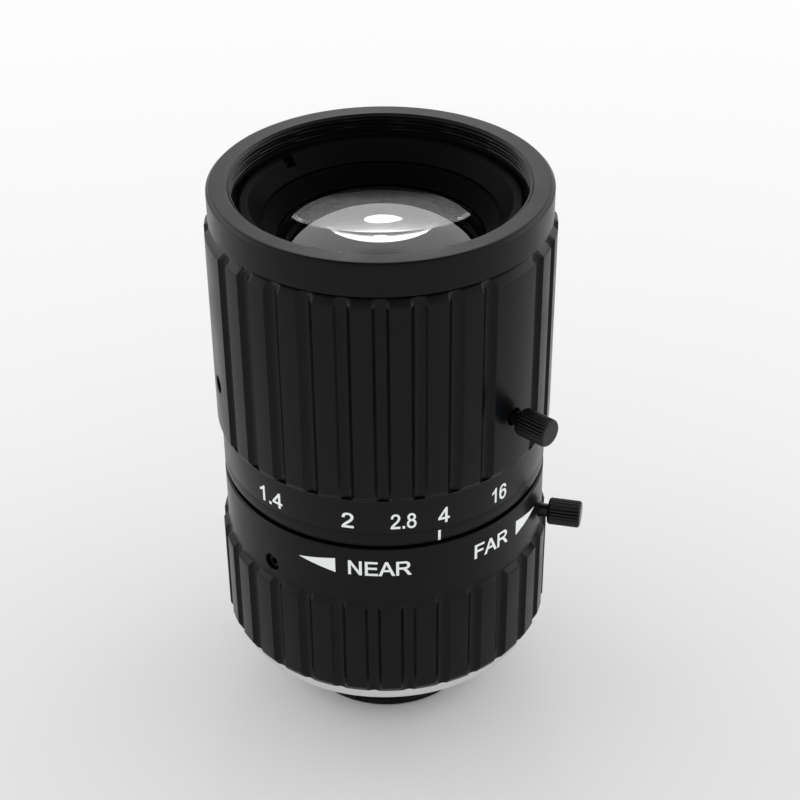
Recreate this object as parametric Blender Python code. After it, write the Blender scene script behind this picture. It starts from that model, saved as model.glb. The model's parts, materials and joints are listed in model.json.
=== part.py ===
import math

import bmesh
import bpy
from mathutils import Matrix, Vector

# C-mount machine vision lens at rest: focus at FAR, iris at 4.
# Sizes are millimetres. The lens axis is Z and the end of the mount thread is z = 0.
# Azimuth 0 faces -Y and grows toward +X.
MM = 0.001
GAP = 0.3
SEAM = 0.15

# Counts round the axis.
TUBE_SEGMENTS = 48
GLASS_SEGMENTS = 28
PIN_SEGMENTS = 12

# Largest radius and whole length.
LENS_R = 23.2
LENGTH = 80.0

# Focus ring. The land radius of its grip sets the fixed barrel, the moving barrel and the rear cell.
FOCUS_BASE = 12.4
FOCUS_TOP = 37.0
FOCUS_GRIP_TOP = 28.0
FOCUS_LAND_R = LENS_R
FOCUS_BEVEL = 0.45
BAND_STEP = 0.75
BAND_R = FOCUS_LAND_R - BAND_STEP
FOCUS_WALL = 1.75
FOCUS_BORE_R = BAND_R - FOCUS_WALL
FOCUS_TURN = 150.0
FOCUS_TRAVEL = 4.5
RETAINER_SEAT = 35.2
RETAINER_R = FOCUS_BORE_R + 0.7

# Fixed barrel.
FIXED_R = FOCUS_BORE_R - GAP
FIXED_WALL = 1.7
FIXED_BORE_R = FIXED_R - FIXED_WALL
FIXED_FLANGE_BORE_R = FIXED_BORE_R - 4.7
FIXED_FLANGE_TOP = 16.7
FIXED_TOP = 36.7
FIXED_NECK_R = FIXED_R - 0.5

# Lower sleeve of the moving barrel, and the cam pins it carries.
LOW_SLEEVE_R = FIXED_BORE_R - GAP
LOW_SLEEVE_WALL = 1.5
LOW_SLEEVE_BORE_R = LOW_SLEEVE_R - LOW_SLEEVE_WALL
LOW_SLEEVE_BASE = FIXED_FLANGE_TOP + GAP
SLEEVE_STEP = FOCUS_TOP
REAR_CELL_R = LOW_SLEEVE_BORE_R - GAP
CAM_PIN_R = 0.9
CAM_PIN_Z = 20.0
CAM_PIN_AZIMUTHS = (20.0, 140.0, 260.0)
CAM_GROOVE_R = FOCUS_BORE_R + 0.8

# Mount and bare aluminium ring.
THREAD_R = 12.7
THREAD_CHAMFER = 0.5
THREAD_TOP = 4.0
FLANGE_SCREW_CIRCLE = FIXED_BORE_R - 1.7
NECK_R = FLANGE_SCREW_CIRCLE - 2.2
MOUNT_BORE_R = NECK_R - 3.6
MOUNT_FLANGE_TOP = 14.0
FLANGE_RING_R = FOCUS_LAND_R - 1.26
FLANGE_RING_BASE = 10.5
FLANGE_RING_TOP = 12.15
FLANGE_SCREW_R = 0.8
FLANGE_SCREW_HEAD_R = 1.7
FLANGE_SCREW_COUNT = 3

# Aperture ring. The land radius of its grip sets the upper sleeve and all that stands in it.
APERTURE_LAND_R = LENS_R - 0.2
SCALE_R = APERTURE_LAND_R - 0.58
APERTURE_WALL = 1.52
APERTURE_BORE_R = SCALE_R - APERTURE_WALL
INDEX_NECK_R = SCALE_R - 0.52
INDEX_BASE = FOCUS_TOP + GAP
INDEX_STEP = 38.2
INDEX_TOP = 39.7
APERTURE_BASE = INDEX_TOP + SEAM
APERTURE_TOP = 75.15
LAND_CHAMFER_WIDTH = 1.1
LAND_CHAMFER_HEIGHT = 1.0
SCALE_TOP = 44.9
APERTURE_GRIP_BASE = 45.8
FLUTE_END = 45.2

# Upper sleeve of the moving barrel.
IRIS_SHOULDER = 45.3
SLEEVE_R = APERTURE_BORE_R - GAP
SLEEVE_WALL = 1.6
SLEEVE_BORE_R = SLEEVE_R - SLEEVE_WALL
INSERT_R = SLEEVE_BORE_R - GAP

# Flutes of both grips.
FLUTE_PITCH = 12.0
FLUTE_R = 1.1
FLUTE_OUTSET = 0.36
FOCUS_FLUTE_AZIMUTH = 8.0
APERTURE_FLUTE_AZIMUTH = 0.0
PLAIN_PANELS = (48.0, 168.0, 288.0)

# Tapped holes, thumbscrews, pads and set screws.
TAP_R = 1.25
SCREW_R = TAP_R - GAP
FOCUS_TAP_Z = 30.4
FOCUS_THUMB_AZIMUTH = 77.0
FOCUS_GRUB_AZIMUTHS = (-43.0, 197.0)
APERTURE_TAP_Z = 53.3
APERTURE_THUMB_AZIMUTH = 48.0
DRIVE_AZIMUTHS = (-72.0, 168.0)
SOCKET_R = 0.5
SOCKET_DEPTH = 0.6
PAD_LENGTH = 0.8
NECK_LENGTH = 1.25
THUMB_R = 1.9
THUMB_LENGTH = 4.6
THUMB_CHAMFER = 0.3
KNURL_DEPTH = 0.15
KNURL_COUNT = 20

# Front hood and what it holds.
HOOD_R = APERTURE_LAND_R - 0.55
HOOD_BASE = APERTURE_TOP + GAP
HOOD_TOP = LENGTH
HOOD_CHAMFER = 0.45
FILTER_R = HOOD_R - 3.0
FILTER_LEAD = 0.27
HOOD_RIM_R = FILTER_R + FILTER_LEAD
LEDGE_Z = 77.3
HOOD_SPIGOT_BASE = 72.0
HOOD_SPIGOT_BORE_R = INSERT_R - 1.4
NAME_RING_R = FILTER_R - 0.6
NAME_RING_FACE_R = NAME_RING_R - 0.65
NAME_RING_LIP_R = NAME_RING_R - 1.63
BAFFLE_R = HOOD_SPIGOT_BORE_R - GAP
BAFFLE_TOP_R = BAFFLE_R - 1.76
BAFFLE_TOP = 74.56
GLASS_EDGE_R = BAFFLE_TOP_R - 1.6
GLASS_EDGE_Z = 72.0
NOTCH_AZIMUTHS = (-133.0, 47.0)
NOTCH_WIDTH = 1.7

# Iris.
BLADE_COUNT = 6
BLADE_PIVOT_R = INSERT_R - 4.7
BLADE_INNER_R = BLADE_PIVOT_R - 5.0
BLADE_OUTER_R = BLADE_PIVOT_R + 1.7
BLADE_START = -8.0
BLADE_END = 121.0
BLADE_RISE = 5.0
BLADE_THICKNESS = 0.12
BLADE_PIN_AT = 113.7
BLADE_PIN_R = BLADE_PIVOT_R + 0.9
PIVOT_PIN_R = 0.45
DRIVE_PIN_R = 0.4
IRIS_OPEN_R = BLADE_INNER_R
IRIS_BASE_Z = IRIS_SHOULDER + GAP
IRIS_PLATE = 1.2
CLOSED_TURN = 84.7
REST_TURN = 60.7
BLADE_RATIO = 0.402
CAM_RIM_BASE = 51.4
CAM_RIM_TOP = 55.2
CAM_RIM_BORE_R = INSERT_R - 2.4
CAM_PLATE_Z = 52.5
CAM_PLATE = 1.0
CAM_OPEN_R = BLADE_INNER_R
DOG_R = 0.5

# Glass: radius, edge base, edge top, front vertex, back vertex.
FRONT_LENS = (INSERT_R - 3.7, 67.1, 71.33, 75.0, 69.0)
SECOND_LENS = (INSERT_R - 6.1, 60.87, 64.6, 67.6, 64.0)
THIRD_LENS = (INSERT_R - 8.1, 56.6, 58.15, 61.6, 57.4)
FOURTH_LENS = (REAR_CELL_R - 5.0, 40.83, 44.16, 42.0, 38.5)
FIFTH_LENS = (REAR_CELL_R - 5.0, 34.23, 35.57, 37.9, 31.5)
REAR_LENS = (MOUNT_BORE_R - 1.9, 7.6, 9.43, 10.3, 6.3)
SECOND_HOLLOW_R = SECOND_LENS[0] - 3.1
FOURTH_HOLLOW_R = FOURTH_LENS[0] - 2.1
SPACER_WALL = 1.2


def clear_scene():
    for old in list(bpy.data.objects):
        bpy.data.objects.remove(old, do_unlink=True)
    for old in list(bpy.data.materials):
        bpy.data.materials.remove(old)


def finish(name, colour, metallic, roughness, transmission=0.0):
    material = bpy.data.materials.new(name)
    material.use_nodes = True
    shader = material.node_tree.nodes["Principled BSDF"]
    shader.inputs["Base Color"].default_value = (*colour, 1.0)
    shader.inputs["Metallic"].default_value = metallic
    shader.inputs["Roughness"].default_value = roughness
    shader.inputs["Transmission Weight"].default_value = transmission
    material.diffuse_color = (*colour, 1.0)
    return material


def around(radius, azimuth, height):
    angle = math.radians(azimuth)
    return Vector((radius * math.sin(angle), -radius * math.cos(angle), height))


def radial_frame(azimuth, height):
    """Local Z points outward from the lens axis, so a profile's heights are radii of the lens."""
    outward = around(1.0, azimuth, 0.0)
    up = Vector((0.0, 0.0, 1.0))
    side = up.cross(outward)
    turned = Matrix((side, up, outward)).transposed().to_4x4()
    if turned.determinant() < 0:
        turned = Matrix((-side, up, outward)).transposed().to_4x4()
    return Matrix.Translation((0.0, 0.0, height)) @ turned


def add_lathe(mesh, profile, count, frame=None):
    """Revolves (radius, height) points. A radius of 0 closes the end on the axis."""
    rows = []
    for radius, height in profile:
        if radius == 0:
            rows.append([mesh.verts.new((0.0, 0.0, height))])
            continue
        rows.append([mesh.verts.new(around(radius, 360.0 * i / count, height)) for i in range(count)])
    pairs = list(zip(rows, rows[1:]))
    if profile[0][0] > 0 and profile[-1][0] > 0:
        pairs.append((rows[-1], rows[0]))
    for low, high in pairs:
        for i in range(count):
            j = (i + 1) % count
            if len(low) == 1:
                mesh.faces.new((low[0], high[i], high[j]))
            elif len(high) == 1:
                mesh.faces.new((low[i], low[j], high[0]))
            else:
                mesh.faces.new((low[i], low[j], high[j], high[i]))
    if frame is not None:
        new = [vert for row in rows for vert in row]
        bmesh.ops.transform(mesh, matrix=frame, verts=new)


def add_loft(mesh, rows):
    """Joins rings of points that have equal counts, with a flat face at each end."""
    made = [[mesh.verts.new(point) for point in row] for row in rows]
    count = len(made[0])
    for low, high in zip(made, made[1:]):
        for i in range(count):
            j = (i + 1) % count
            mesh.faces.new((low[i], low[j], high[j], high[i]))
    mesh.faces.new(list(reversed(made[0])))
    mesh.faces.new(made[-1])
    return [vert for row in made for vert in row]


def add_arc_box(mesh, inner, outer, start, end, steps, height_at, half_height):
    """A bar bent round the lens axis. Its mid height follows height_at(azimuth)."""
    rows = []
    for i in range(steps + 1):
        azimuth = start + (end - start) * i / steps
        middle = height_at(azimuth)
        rows.append(
            [
                around(inner, azimuth, middle - half_height),
                around(outer, azimuth, middle - half_height),
                around(outer, azimuth, middle + half_height),
                around(inner, azimuth, middle + half_height),
            ]
        )
    add_loft(mesh, rows)


def add_radial_box(mesh, azimuth, inner, outer, width, base, top):
    frame = radial_frame(azimuth, 0.0)
    half = width / 2
    rows = []
    for reach in (inner, outer):
        corners = ((-half, base), (half, base), (half, top), (-half, top))
        rows.append([frame @ Vector((side, height, reach)) for side, height in corners])
    add_loft(mesh, rows)


def make(name, mesh, material, origin=(0.0, 0.0, 0.0)):
    bmesh.ops.recalc_face_normals(mesh, faces=mesh.faces)
    origin = Vector(origin)
    bmesh.ops.translate(mesh, verts=mesh.verts, vec=-origin)
    bmesh.ops.scale(mesh, verts=mesh.verts, vec=(MM, MM, MM))
    data = bpy.data.meshes.new(name)
    mesh.to_mesh(data)
    mesh.free()
    piece = bpy.data.objects.new(name, data)
    piece.location = origin * MM
    bpy.context.scene.collection.objects.link(piece)
    if material is not None:
        data.materials.append(material)
    return piece


def shade(piece, angle=32.0):
    piece.data.shade_smooth()
    piece.data.set_sharp_from_angle(angle=math.radians(angle))


def combine(piece, other_mesh, operation):
    """Applies one exact Boolean with a mesh that is removed afterwards."""
    other = make(piece.name + "_tool", other_mesh, None)
    other.display_type = "WIRE"
    other.hide_render = True
    modifier = piece.modifiers.new("shape", "BOOLEAN")
    modifier.operation = operation
    modifier.solver = "EXACT"
    modifier.object = other
    graph = bpy.context.evaluated_depsgraph_get()
    graph.update()
    result = bpy.data.meshes.new_from_object(piece.evaluated_get(graph))
    piece.modifiers.clear()
    old = piece.data
    piece.data = result
    bpy.data.meshes.remove(old)
    result.name = piece.name
    tidy = bmesh.new()
    tidy.from_mesh(result)
    bmesh.ops.remove_doubles(tidy, verts=tidy.verts, dist=1e-7)
    bmesh.ops.dissolve_degenerate(tidy, edges=tidy.edges, dist=1e-7)
    tidy.to_mesh(result)
    tidy.free()
    bpy.data.objects.remove(other, do_unlink=True)


def cut(piece, tool):
    combine(piece, tool, "DIFFERENCE")


def lathe(name, profile, material, count=TUBE_SEGMENTS):
    mesh = bmesh.new()
    add_lathe(mesh, profile, count)
    piece = make(name, mesh, material)
    shade(piece)
    return piece


def flute_radius(land, offset):
    """Radius left by a round flute at an angle from its middle line."""
    centre = land + FLUTE_OUTSET
    side = centre * math.sin(math.radians(offset))
    if abs(side) >= FLUTE_R:
        return math.inf
    return centre * math.cos(math.radians(offset)) - math.sqrt(FLUTE_R**2 - side**2)


def grip_stations(land, first, plain):
    """(azimuth, flute radius) pairs all round the grip."""
    centre = land + FLUTE_OUTSET
    # The flute meets the land where both circles cross.
    crossing = (centre**2 + land**2 - FLUTE_R**2) / (2 * centre * land)
    half = math.degrees(math.acos(crossing))
    stations = []
    for k in range(round(360 / FLUTE_PITCH)):
        middle = (first + k * FLUTE_PITCH) % 360.0
        is_plain = any(abs((middle - panel + 180) % 360 - 180) < 1 for panel in plain)
        for part in (-1.0, -0.5, 0.0, 0.5, 1.0):
            radius = math.inf if is_plain else flute_radius(land, part * half * 0.999)
            stations.append((middle + part * half, radius))
    return stations


def grip_rows(stations, outline):
    """outline holds (land radius, height, has flutes) from the base up."""
    rows = []
    for radius, height, fluted in outline:
        row = []
        for azimuth, flute in stations:
            row.append(around(min(radius, flute) if fluted else radius, azimuth, height))
        rows.append(row)
    return rows


def tap_tool(mesh, azimuths, height, inner, outer):
    for azimuth in azimuths:
        add_lathe(mesh, ((0, inner), (TAP_R, inner), (TAP_R, outer), (0, outer)), 16, radial_frame(azimuth, height))


def thumbscrew(name, azimuth, height, tip, head, material):
    """Screw whose tip and head base are at these radii of the lens."""
    frame = radial_frame(azimuth, height)
    count = 2 * KNURL_COUNT
    outline = (
        (SCREW_R - 0.2, tip, False),
        (SCREW_R, tip + 0.2, False),
        (SCREW_R, head, False),
        (THUMB_R - THUMB_CHAMFER, head + 0.02, False),
        (THUMB_R, head + THUMB_CHAMFER, True),
        (THUMB_R, head + THUMB_LENGTH - THUMB_CHAMFER, True),
        (THUMB_R - THUMB_CHAMFER, head + THUMB_LENGTH, False),
    )
    rows = []
    for radius, reach, knurled in outline:
        row = []
        for i in range(count):
            deep = KNURL_DEPTH if knurled and i % 2 else 0.0
            row.append(frame @ around(radius - deep, 360.0 * i / count, reach))
        rows.append(row)
    mesh = bmesh.new()
    add_loft(mesh, rows)
    piece = make(name, mesh, material, around(head, azimuth, height))
    shade(piece)
    return piece


def radial_pin(name, profile, azimuth, height, origin_radius, material):
    mesh = bmesh.new()
    add_lathe(mesh, profile, PIN_SEGMENTS, radial_frame(azimuth, height))
    piece = make(name, mesh, material, around(origin_radius, azimuth, height))
    shade(piece)
    return piece


def arc_heights(radius, edge, vertex, steps=3):
    """Points of a spherical face from its rim to the axis, without the rim point."""
    sag = vertex - edge
    sphere = (radius**2 + sag**2) / (2 * abs(sag))
    points = []
    for i in range(1, steps + 1):
        r = radius * (1 - i / steps)
        drop = sphere - math.sqrt(sphere**2 - r**2)
        points.append((r, vertex - math.copysign(drop, sag)))
    return points


def lens(name, shape, material, front_hollow=None, back_hollow=None):
    radius, edge_base, edge_top, front, back = shape
    front_r = front_hollow or radius
    back_r = back_hollow or radius
    profile = list(reversed(arc_heights(back_r, edge_base, back)))
    if back_hollow:
        profile.append((back_r, edge_base))
    profile += [(radius, edge_base), (radius, edge_top)]
    if front_hollow:
        profile.append((front_r, edge_top))
    profile += arc_heights(front_r, edge_top, front)
    return lathe(name, profile, material, GLASS_SEGMENTS)


def mount_pieces(black, aluminium, steel):
    flange_base = FLANGE_RING_TOP + GAP
    mount = lathe(
        "c_mount",
        (
            (THREAD_R - THREAD_CHAMFER, 0.0),
            (THREAD_R, THREAD_CHAMFER),
            (THREAD_R, THREAD_TOP),
            (NECK_R, THREAD_TOP),
            (NECK_R, flange_base),
            (LOW_SLEEVE_R, flange_base),
            (LOW_SLEEVE_R, MOUNT_FLANGE_TOP),
            (MOUNT_BORE_R, MOUNT_FLANGE_TOP),
            (MOUNT_BORE_R, 0.0),
        ),
        black,
    )
    ring = lathe(
        "rear_flange_ring",
        (
            (NECK_R + GAP, FLANGE_RING_BASE),
            (FLANGE_RING_R - 0.2, FLANGE_RING_BASE),
            (FLANGE_RING_R, FLANGE_RING_BASE + 0.2),
            (FLANGE_RING_R, FLANGE_RING_TOP - 0.15),
            (FLANGE_RING_R - 0.15, FLANGE_RING_TOP),
            (NECK_R + GAP, FLANGE_RING_TOP),
        ),
        aluminium,
    )
    fixed = lathe(
        "fixed_barrel",
        (
            (FIXED_R, flange_base),
            (FIXED_R, RETAINER_SEAT),
            (FIXED_NECK_R, RETAINER_SEAT),
            (FIXED_NECK_R, FIXED_TOP),
            (FIXED_BORE_R, FIXED_TOP),
            (FIXED_BORE_R, FIXED_FLANGE_TOP),
            (FIXED_FLANGE_BORE_R, FIXED_FLANGE_TOP),
            (FIXED_FLANGE_BORE_R, MOUNT_FLANGE_TOP + GAP),
            (FIXED_BORE_R, MOUNT_FLANGE_TOP + GAP),
            (FIXED_BORE_R, flange_base),
        ),
        black,
    )
    tip = 16.0
    head = FLANGE_RING_BASE + 0.1
    hole_r = FLANGE_SCREW_R + GAP
    for target, end in ((ring, 13.0), (mount, 14.2), (fixed, tip + GAP)):
        tool = bmesh.new()
        for k in range(FLANGE_SCREW_COUNT):
            spot = Matrix.Translation(around(FLANGE_SCREW_CIRCLE, 80.0 + 120.0 * k, 0.0))
            profile = (
                (0, 9.0),
                (FLANGE_SCREW_HEAD_R + GAP, 9.0),
                (FLANGE_SCREW_HEAD_R + GAP, head + 0.3),
                (hole_r, head + 1.3),
                (hole_r, end),
                (0, end),
            )
            if target is not ring:
                profile = ((0, flange_base - 0.3), (hole_r, flange_base - 0.3), (hole_r, end), (0, end))
            add_lathe(tool, profile, PIN_SEGMENTS, spot)
        cut(target, tool)
    tool = bmesh.new()
    half_slot = CAM_PIN_R + GAP
    for azimuth in CAM_PIN_AZIMUTHS:
        add_radial_box(
            tool,
            azimuth,
            FIXED_BORE_R - 1.0,
            FIXED_R + 1.0,
            2 * half_slot,
            CAM_PIN_Z - half_slot,
            CAM_PIN_Z + FOCUS_TRAVEL + half_slot,
        )
    cut(fixed, tool)
    for piece in (mount, ring, fixed):
        shade(piece)
    for k in range(FLANGE_SCREW_COUNT):
        mesh = bmesh.new()
        spot = around(FLANGE_SCREW_CIRCLE, 80.0 + 120.0 * k, 0.0)
        profile = (
            (0, head + 0.6),
            (0.6, head + 0.6),
            (0.6, head),
            (FLANGE_SCREW_HEAD_R, head),
            (FLANGE_SCREW_R, head + 1.0),
            (FLANGE_SCREW_R, tip),
            (0, tip),
        )
        add_lathe(mesh, profile, PIN_SEGMENTS, Matrix.Translation(spot))
        shade(make(f"flange_screw_{k + 1}", mesh, steel, spot))
    lathe(
        "focus_retaining_ring",
        (
            (FIXED_NECK_R + GAP, RETAINER_SEAT + GAP),
            (RETAINER_R, RETAINER_SEAT + GAP),
            (RETAINER_R, FIXED_TOP),
            (FIXED_NECK_R + GAP, FIXED_TOP),
        ),
        black,
    )


def focus_pieces(black, steel, nylon):
    stations = grip_stations(FOCUS_LAND_R, FOCUS_FLUTE_AZIMUTH, ())
    mesh = bmesh.new()
    outline = (
        (FOCUS_LAND_R - FOCUS_BEVEL, FOCUS_BASE, True),
        (FOCUS_LAND_R, FOCUS_BASE + 0.7, True),
        (FOCUS_LAND_R, FOCUS_GRIP_TOP - 0.65, True),
        (BAND_R, FOCUS_GRIP_TOP, False),
        (BAND_R, FOCUS_TOP - 0.2, False),
        (BAND_R - 0.2, FOCUS_TOP, False),
    )
    add_loft(mesh, grip_rows(stations, outline))
    ring = make("focus_ring", mesh, black)
    bore = bmesh.new()
    profile = (
        (0, FOCUS_BASE - 1),
        (FOCUS_BORE_R, FOCUS_BASE - 1),
        (FOCUS_BORE_R, RETAINER_SEAT),
        (RETAINER_R + GAP, RETAINER_SEAT),
        (RETAINER_R + GAP, FOCUS_TOP + 1),
        (0, FOCUS_TOP + 1),
    )
    add_lathe(bore, profile, TUBE_SEGMENTS)
    cut(ring, bore)
    # Turning the ring to NEAR moves it back round past each pin, so each groove runs ahead of its pin.
    grooves = bmesh.new()
    half = CAM_PIN_R + GAP
    slack = math.degrees(half / CAM_GROOVE_R) + 0.2
    for azimuth in CAM_PIN_AZIMUTHS:

        def helix(angle, start=azimuth):
            turned = min(max(angle - start, 0.0), FOCUS_TURN)
            return CAM_PIN_Z + FOCUS_TRAVEL * turned / FOCUS_TURN

        start = azimuth - slack
        add_arc_box(grooves, FOCUS_BORE_R - 0.6, CAM_GROOVE_R, start, azimuth + FOCUS_TURN + slack, 21, helix, half)
    cut(ring, grooves)
    taps = bmesh.new()
    tap_tool(taps, (FOCUS_THUMB_AZIMUTH, *FOCUS_GRUB_AZIMUTHS), FOCUS_TAP_Z, FOCUS_BORE_R - 2, FOCUS_LAND_R + 2)
    cut(ring, taps)
    shade(ring)
    pad_end = FOCUS_BORE_R + PAD_LENGTH
    pad = ((0, FOCUS_BORE_R), (SCREW_R, FOCUS_BORE_R), (SCREW_R, pad_end), (0, pad_end))
    radial_pin("focus_lock_pad", pad, FOCUS_THUMB_AZIMUTH, FOCUS_TAP_Z, FOCUS_BORE_R, nylon)
    thumbscrew(
        "focus_lock_screw", FOCUS_THUMB_AZIMUTH, FOCUS_TAP_Z, pad_end + GAP, BAND_R + NECK_LENGTH, black
    )
    for k, azimuth in enumerate(FOCUS_GRUB_AZIMUTHS):
        outer = BAND_R - 0.5
        grub = (
            (0, FOCUS_BORE_R),
            (SCREW_R, FOCUS_BORE_R),
            (SCREW_R, outer),
            (SOCKET_R, outer),
            (SOCKET_R, outer - SOCKET_DEPTH),
            (0, outer - SOCKET_DEPTH),
        )
        radial_pin(f"focus_grub_screw_{k + 1}", grub, azimuth, FOCUS_TAP_Z, FOCUS_BORE_R, steel)


def barrel_pieces(black, baffle_black, steel):
    barrel = lathe(
        "front_barrel",
        (
            (LOW_SLEEVE_R, LOW_SLEEVE_BASE),
            (LOW_SLEEVE_R, SLEEVE_STEP),
            (SLEEVE_R, SLEEVE_STEP),
            (SLEEVE_R, HOOD_BASE - GAP),
            (SLEEVE_BORE_R, HOOD_BASE - GAP),
            (SLEEVE_BORE_R, IRIS_SHOULDER),
            (LOW_SLEEVE_BORE_R, IRIS_SHOULDER),
            (LOW_SLEEVE_BORE_R, LOW_SLEEVE_BASE),
        ),
        black,
    )
    tool = bmesh.new()
    # The drive screws sweep these slots from 16 round to 1.4.
    end_room = math.degrees((DOG_R + GAP) / SLEEVE_BORE_R) + 0.2
    for azimuth in DRIVE_AZIMUTHS:
        start = azimuth - (CLOSED_TURN - REST_TURN) - end_room
        end = azimuth + REST_TURN + end_room
        add_arc_box(tool, SLEEVE_BORE_R - 0.6, SLEEVE_R + 0.6, start, end, 12, lambda _: APERTURE_TAP_Z, DOG_R + GAP)
    for azimuth in CAM_PIN_AZIMUTHS:
        hole = CAM_PIN_R + GAP
        profile = (
            (0, LOW_SLEEVE_BORE_R - 1),
            (hole, LOW_SLEEVE_BORE_R - 1),
            (hole, LOW_SLEEVE_R + 1),
            (0, LOW_SLEEVE_R + 1),
        )
        add_lathe(tool, profile, PIN_SEGMENTS, radial_frame(azimuth, CAM_PIN_Z))
    cut(barrel, tool)
    shade(barrel)
    for k, azimuth in enumerate(CAM_PIN_AZIMUTHS):
        inner = LOW_SLEEVE_BORE_R + 0.2
        outer = CAM_GROOVE_R - GAP
        pin = ((0, inner), (CAM_PIN_R, inner), (CAM_PIN_R, outer), (0, outer))
        radial_pin(f"cam_pin_{k + 1}", pin, azimuth, CAM_PIN_Z, inner, steel)
    lathe(
        "index_ring",
        (
            (APERTURE_BORE_R, INDEX_BASE),
            (INDEX_NECK_R, INDEX_BASE),
            (INDEX_NECK_R, INDEX_STEP),
            (SCALE_R, INDEX_STEP + 0.15),
            (SCALE_R, INDEX_TOP - 0.15),
            (SCALE_R - 0.15, INDEX_TOP),
            (APERTURE_BORE_R, INDEX_TOP),
        ),
        black,
    )
    shoulder = HOOD_BASE
    ring_seat = LEDGE_Z - 1.1
    bore = NAME_RING_R + GAP
    lathe(
        "front_hood",
        (
            (INSERT_R, HOOD_SPIGOT_BASE),
            (INSERT_R, shoulder),
            (HOOD_R - 0.2, shoulder),
            (HOOD_R, shoulder + 0.2),
            (HOOD_R, HOOD_TOP - HOOD_CHAMFER),
            (HOOD_R - HOOD_CHAMFER, HOOD_TOP),
            (HOOD_RIM_R, HOOD_TOP),
            (FILTER_R, HOOD_TOP - 0.4),
            (FILTER_R, LEDGE_Z),
            (bore, LEDGE_Z),
            (bore, ring_seat),
            (HOOD_SPIGOT_BORE_R, ring_seat),
            (HOOD_SPIGOT_BORE_R, HOOD_SPIGOT_BASE),
        ),
        black,
    )
    ring_base = BAFFLE_TOP + GAP
    ring = lathe(
        "front_retaining_ring",
        (
            (BAFFLE_R, ring_base),
            (BAFFLE_R, ring_seat + GAP),
            (NAME_RING_R, ring_seat + GAP),
            (NAME_RING_R, LEDGE_Z - 0.4),
            (NAME_RING_FACE_R, LEDGE_Z),
            (NAME_RING_LIP_R, LEDGE_Z),
            (BAFFLE_TOP_R + 0.2, ring_base),
        ),
        black,
    )
    notches = bmesh.new()
    for azimuth in NOTCH_AZIMUTHS:
        outer = NAME_RING_LIP_R + 0.68
        add_radial_box(notches, azimuth, BAFFLE_TOP_R - 1.2, outer, NOTCH_WIDTH, LEDGE_Z - 1.2, LEDGE_Z + 1)
    cut(ring, notches)
    shade(ring)
    lathe(
        "front_baffle",
        (
            (GLASS_EDGE_R, GLASS_EDGE_Z + GAP),
            (GLASS_EDGE_R + 0.76, GLASS_EDGE_Z),
            (BAFFLE_R, GLASS_EDGE_Z),
            (BAFFLE_R, BAFFLE_TOP),
            (BAFFLE_TOP_R, BAFFLE_TOP),
        ),
        baffle_black,
    )


def glass_pieces(black, glass):
    lens("front_lens", FRONT_LENS, glass)
    lens("second_lens", SECOND_LENS, glass, back_hollow=SECOND_HOLLOW_R)
    lens("third_lens", THIRD_LENS, glass)
    lens("fourth_lens", FOURTH_LENS, glass, front_hollow=FOURTH_HOLLOW_R)
    lens("fifth_lens", FIFTH_LENS, glass)
    lens("rear_lens", REAR_LENS, glass)
    third_seat = THIRD_LENS[1] - GAP
    second_seat = SECOND_LENS[1] - GAP
    front_seat = FRONT_LENS[1] - GAP
    third_bore = THIRD_LENS[0] + GAP
    second_bore = SECOND_LENS[0] + GAP
    front_bore = FRONT_LENS[0] + GAP
    cell_top = HOOD_SPIGOT_BASE - GAP
    stop_r = THIRD_LENS[0] - 1.0
    lathe(
        "front_cell",
        (
            (stop_r, CAM_RIM_TOP + GAP),
            (INSERT_R, CAM_RIM_TOP + GAP),
            (INSERT_R, cell_top),
            (front_bore, cell_top),
            (front_bore, front_seat),
            (second_bore, front_seat),
            (second_bore, second_seat),
            (third_bore, second_seat),
            (third_bore, third_seat),
            (stop_r, third_seat),
        ),
        black,
        40,
    )
    add_spacer("front_spacer", SECOND_LENS[0], SPACER_WALL, SECOND_LENS[2] + 0.8, FRONT_LENS[1] + 0.1, black)
    add_spacer("inner_spacer", THIRD_LENS[0], 0.7, THIRD_LENS[2] + 0.8, second_seat, black)
    rear_bore = REAR_LENS[0] + GAP
    rear_bell_r = MOUNT_BORE_R - 0.4
    rear_stop_r = REAR_LENS[0] - 0.7
    bell_top = FIXED_FLANGE_TOP + 2 * GAP
    fifth_seat = FIFTH_LENS[1] - GAP
    fifth_bore = FIFTH_LENS[0] + GAP
    waist_r = FIFTH_LENS[0] - 0.4
    lathe(
        "rear_cell",
        (
            (rear_bore, 5.0),
            (rear_bell_r, 5.0),
            (rear_bell_r, bell_top),
            (REAR_CELL_R, bell_top),
            (REAR_CELL_R, IRIS_SHOULDER),
            (fifth_bore, IRIS_SHOULDER),
            (fifth_bore, fifth_seat),
            (waist_r, fifth_seat),
            (waist_r, bell_top + 1.7),
            (rear_stop_r, bell_top + 1.7),
            (rear_stop_r, REAR_LENS[2] + GAP),
            (rear_bore, REAR_LENS[2] + GAP),
        ),
        black,
        40,
    )
    add_spacer("rear_spacer", FIFTH_LENS[0], 0.5, FIFTH_LENS[2] + GAP, FOURTH_LENS[1] - GAP, black)
    add_spacer("cell_retaining_ring", FOURTH_LENS[0], 2.0, FOURTH_LENS[2] + GAP, IRIS_SHOULDER, black)
    add_spacer("rear_retaining_ring", REAR_LENS[0], 0.9, 5.2, REAR_LENS[1] - GAP, black)


def add_spacer(name, outer, wall, base, top, material):
    inner = outer - wall
    profile = ((inner, base), (outer, base), (outer, top), (inner, top))
    lathe(name, profile, material, GLASS_SEGMENTS)


def turned(point, angle, centre=Vector((0.0, 0.0, 0.0))):
    """Turns a point about a vertical line through centre, in degrees."""
    return Matrix.Rotation(math.radians(angle), 3, "Z") @ (point - centre) + centre


def blade_pivot(k):
    return turned(Vector((BLADE_PIVOT_R, 0.0, 0.0)), 360.0 * k / BLADE_COUNT)


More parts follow.
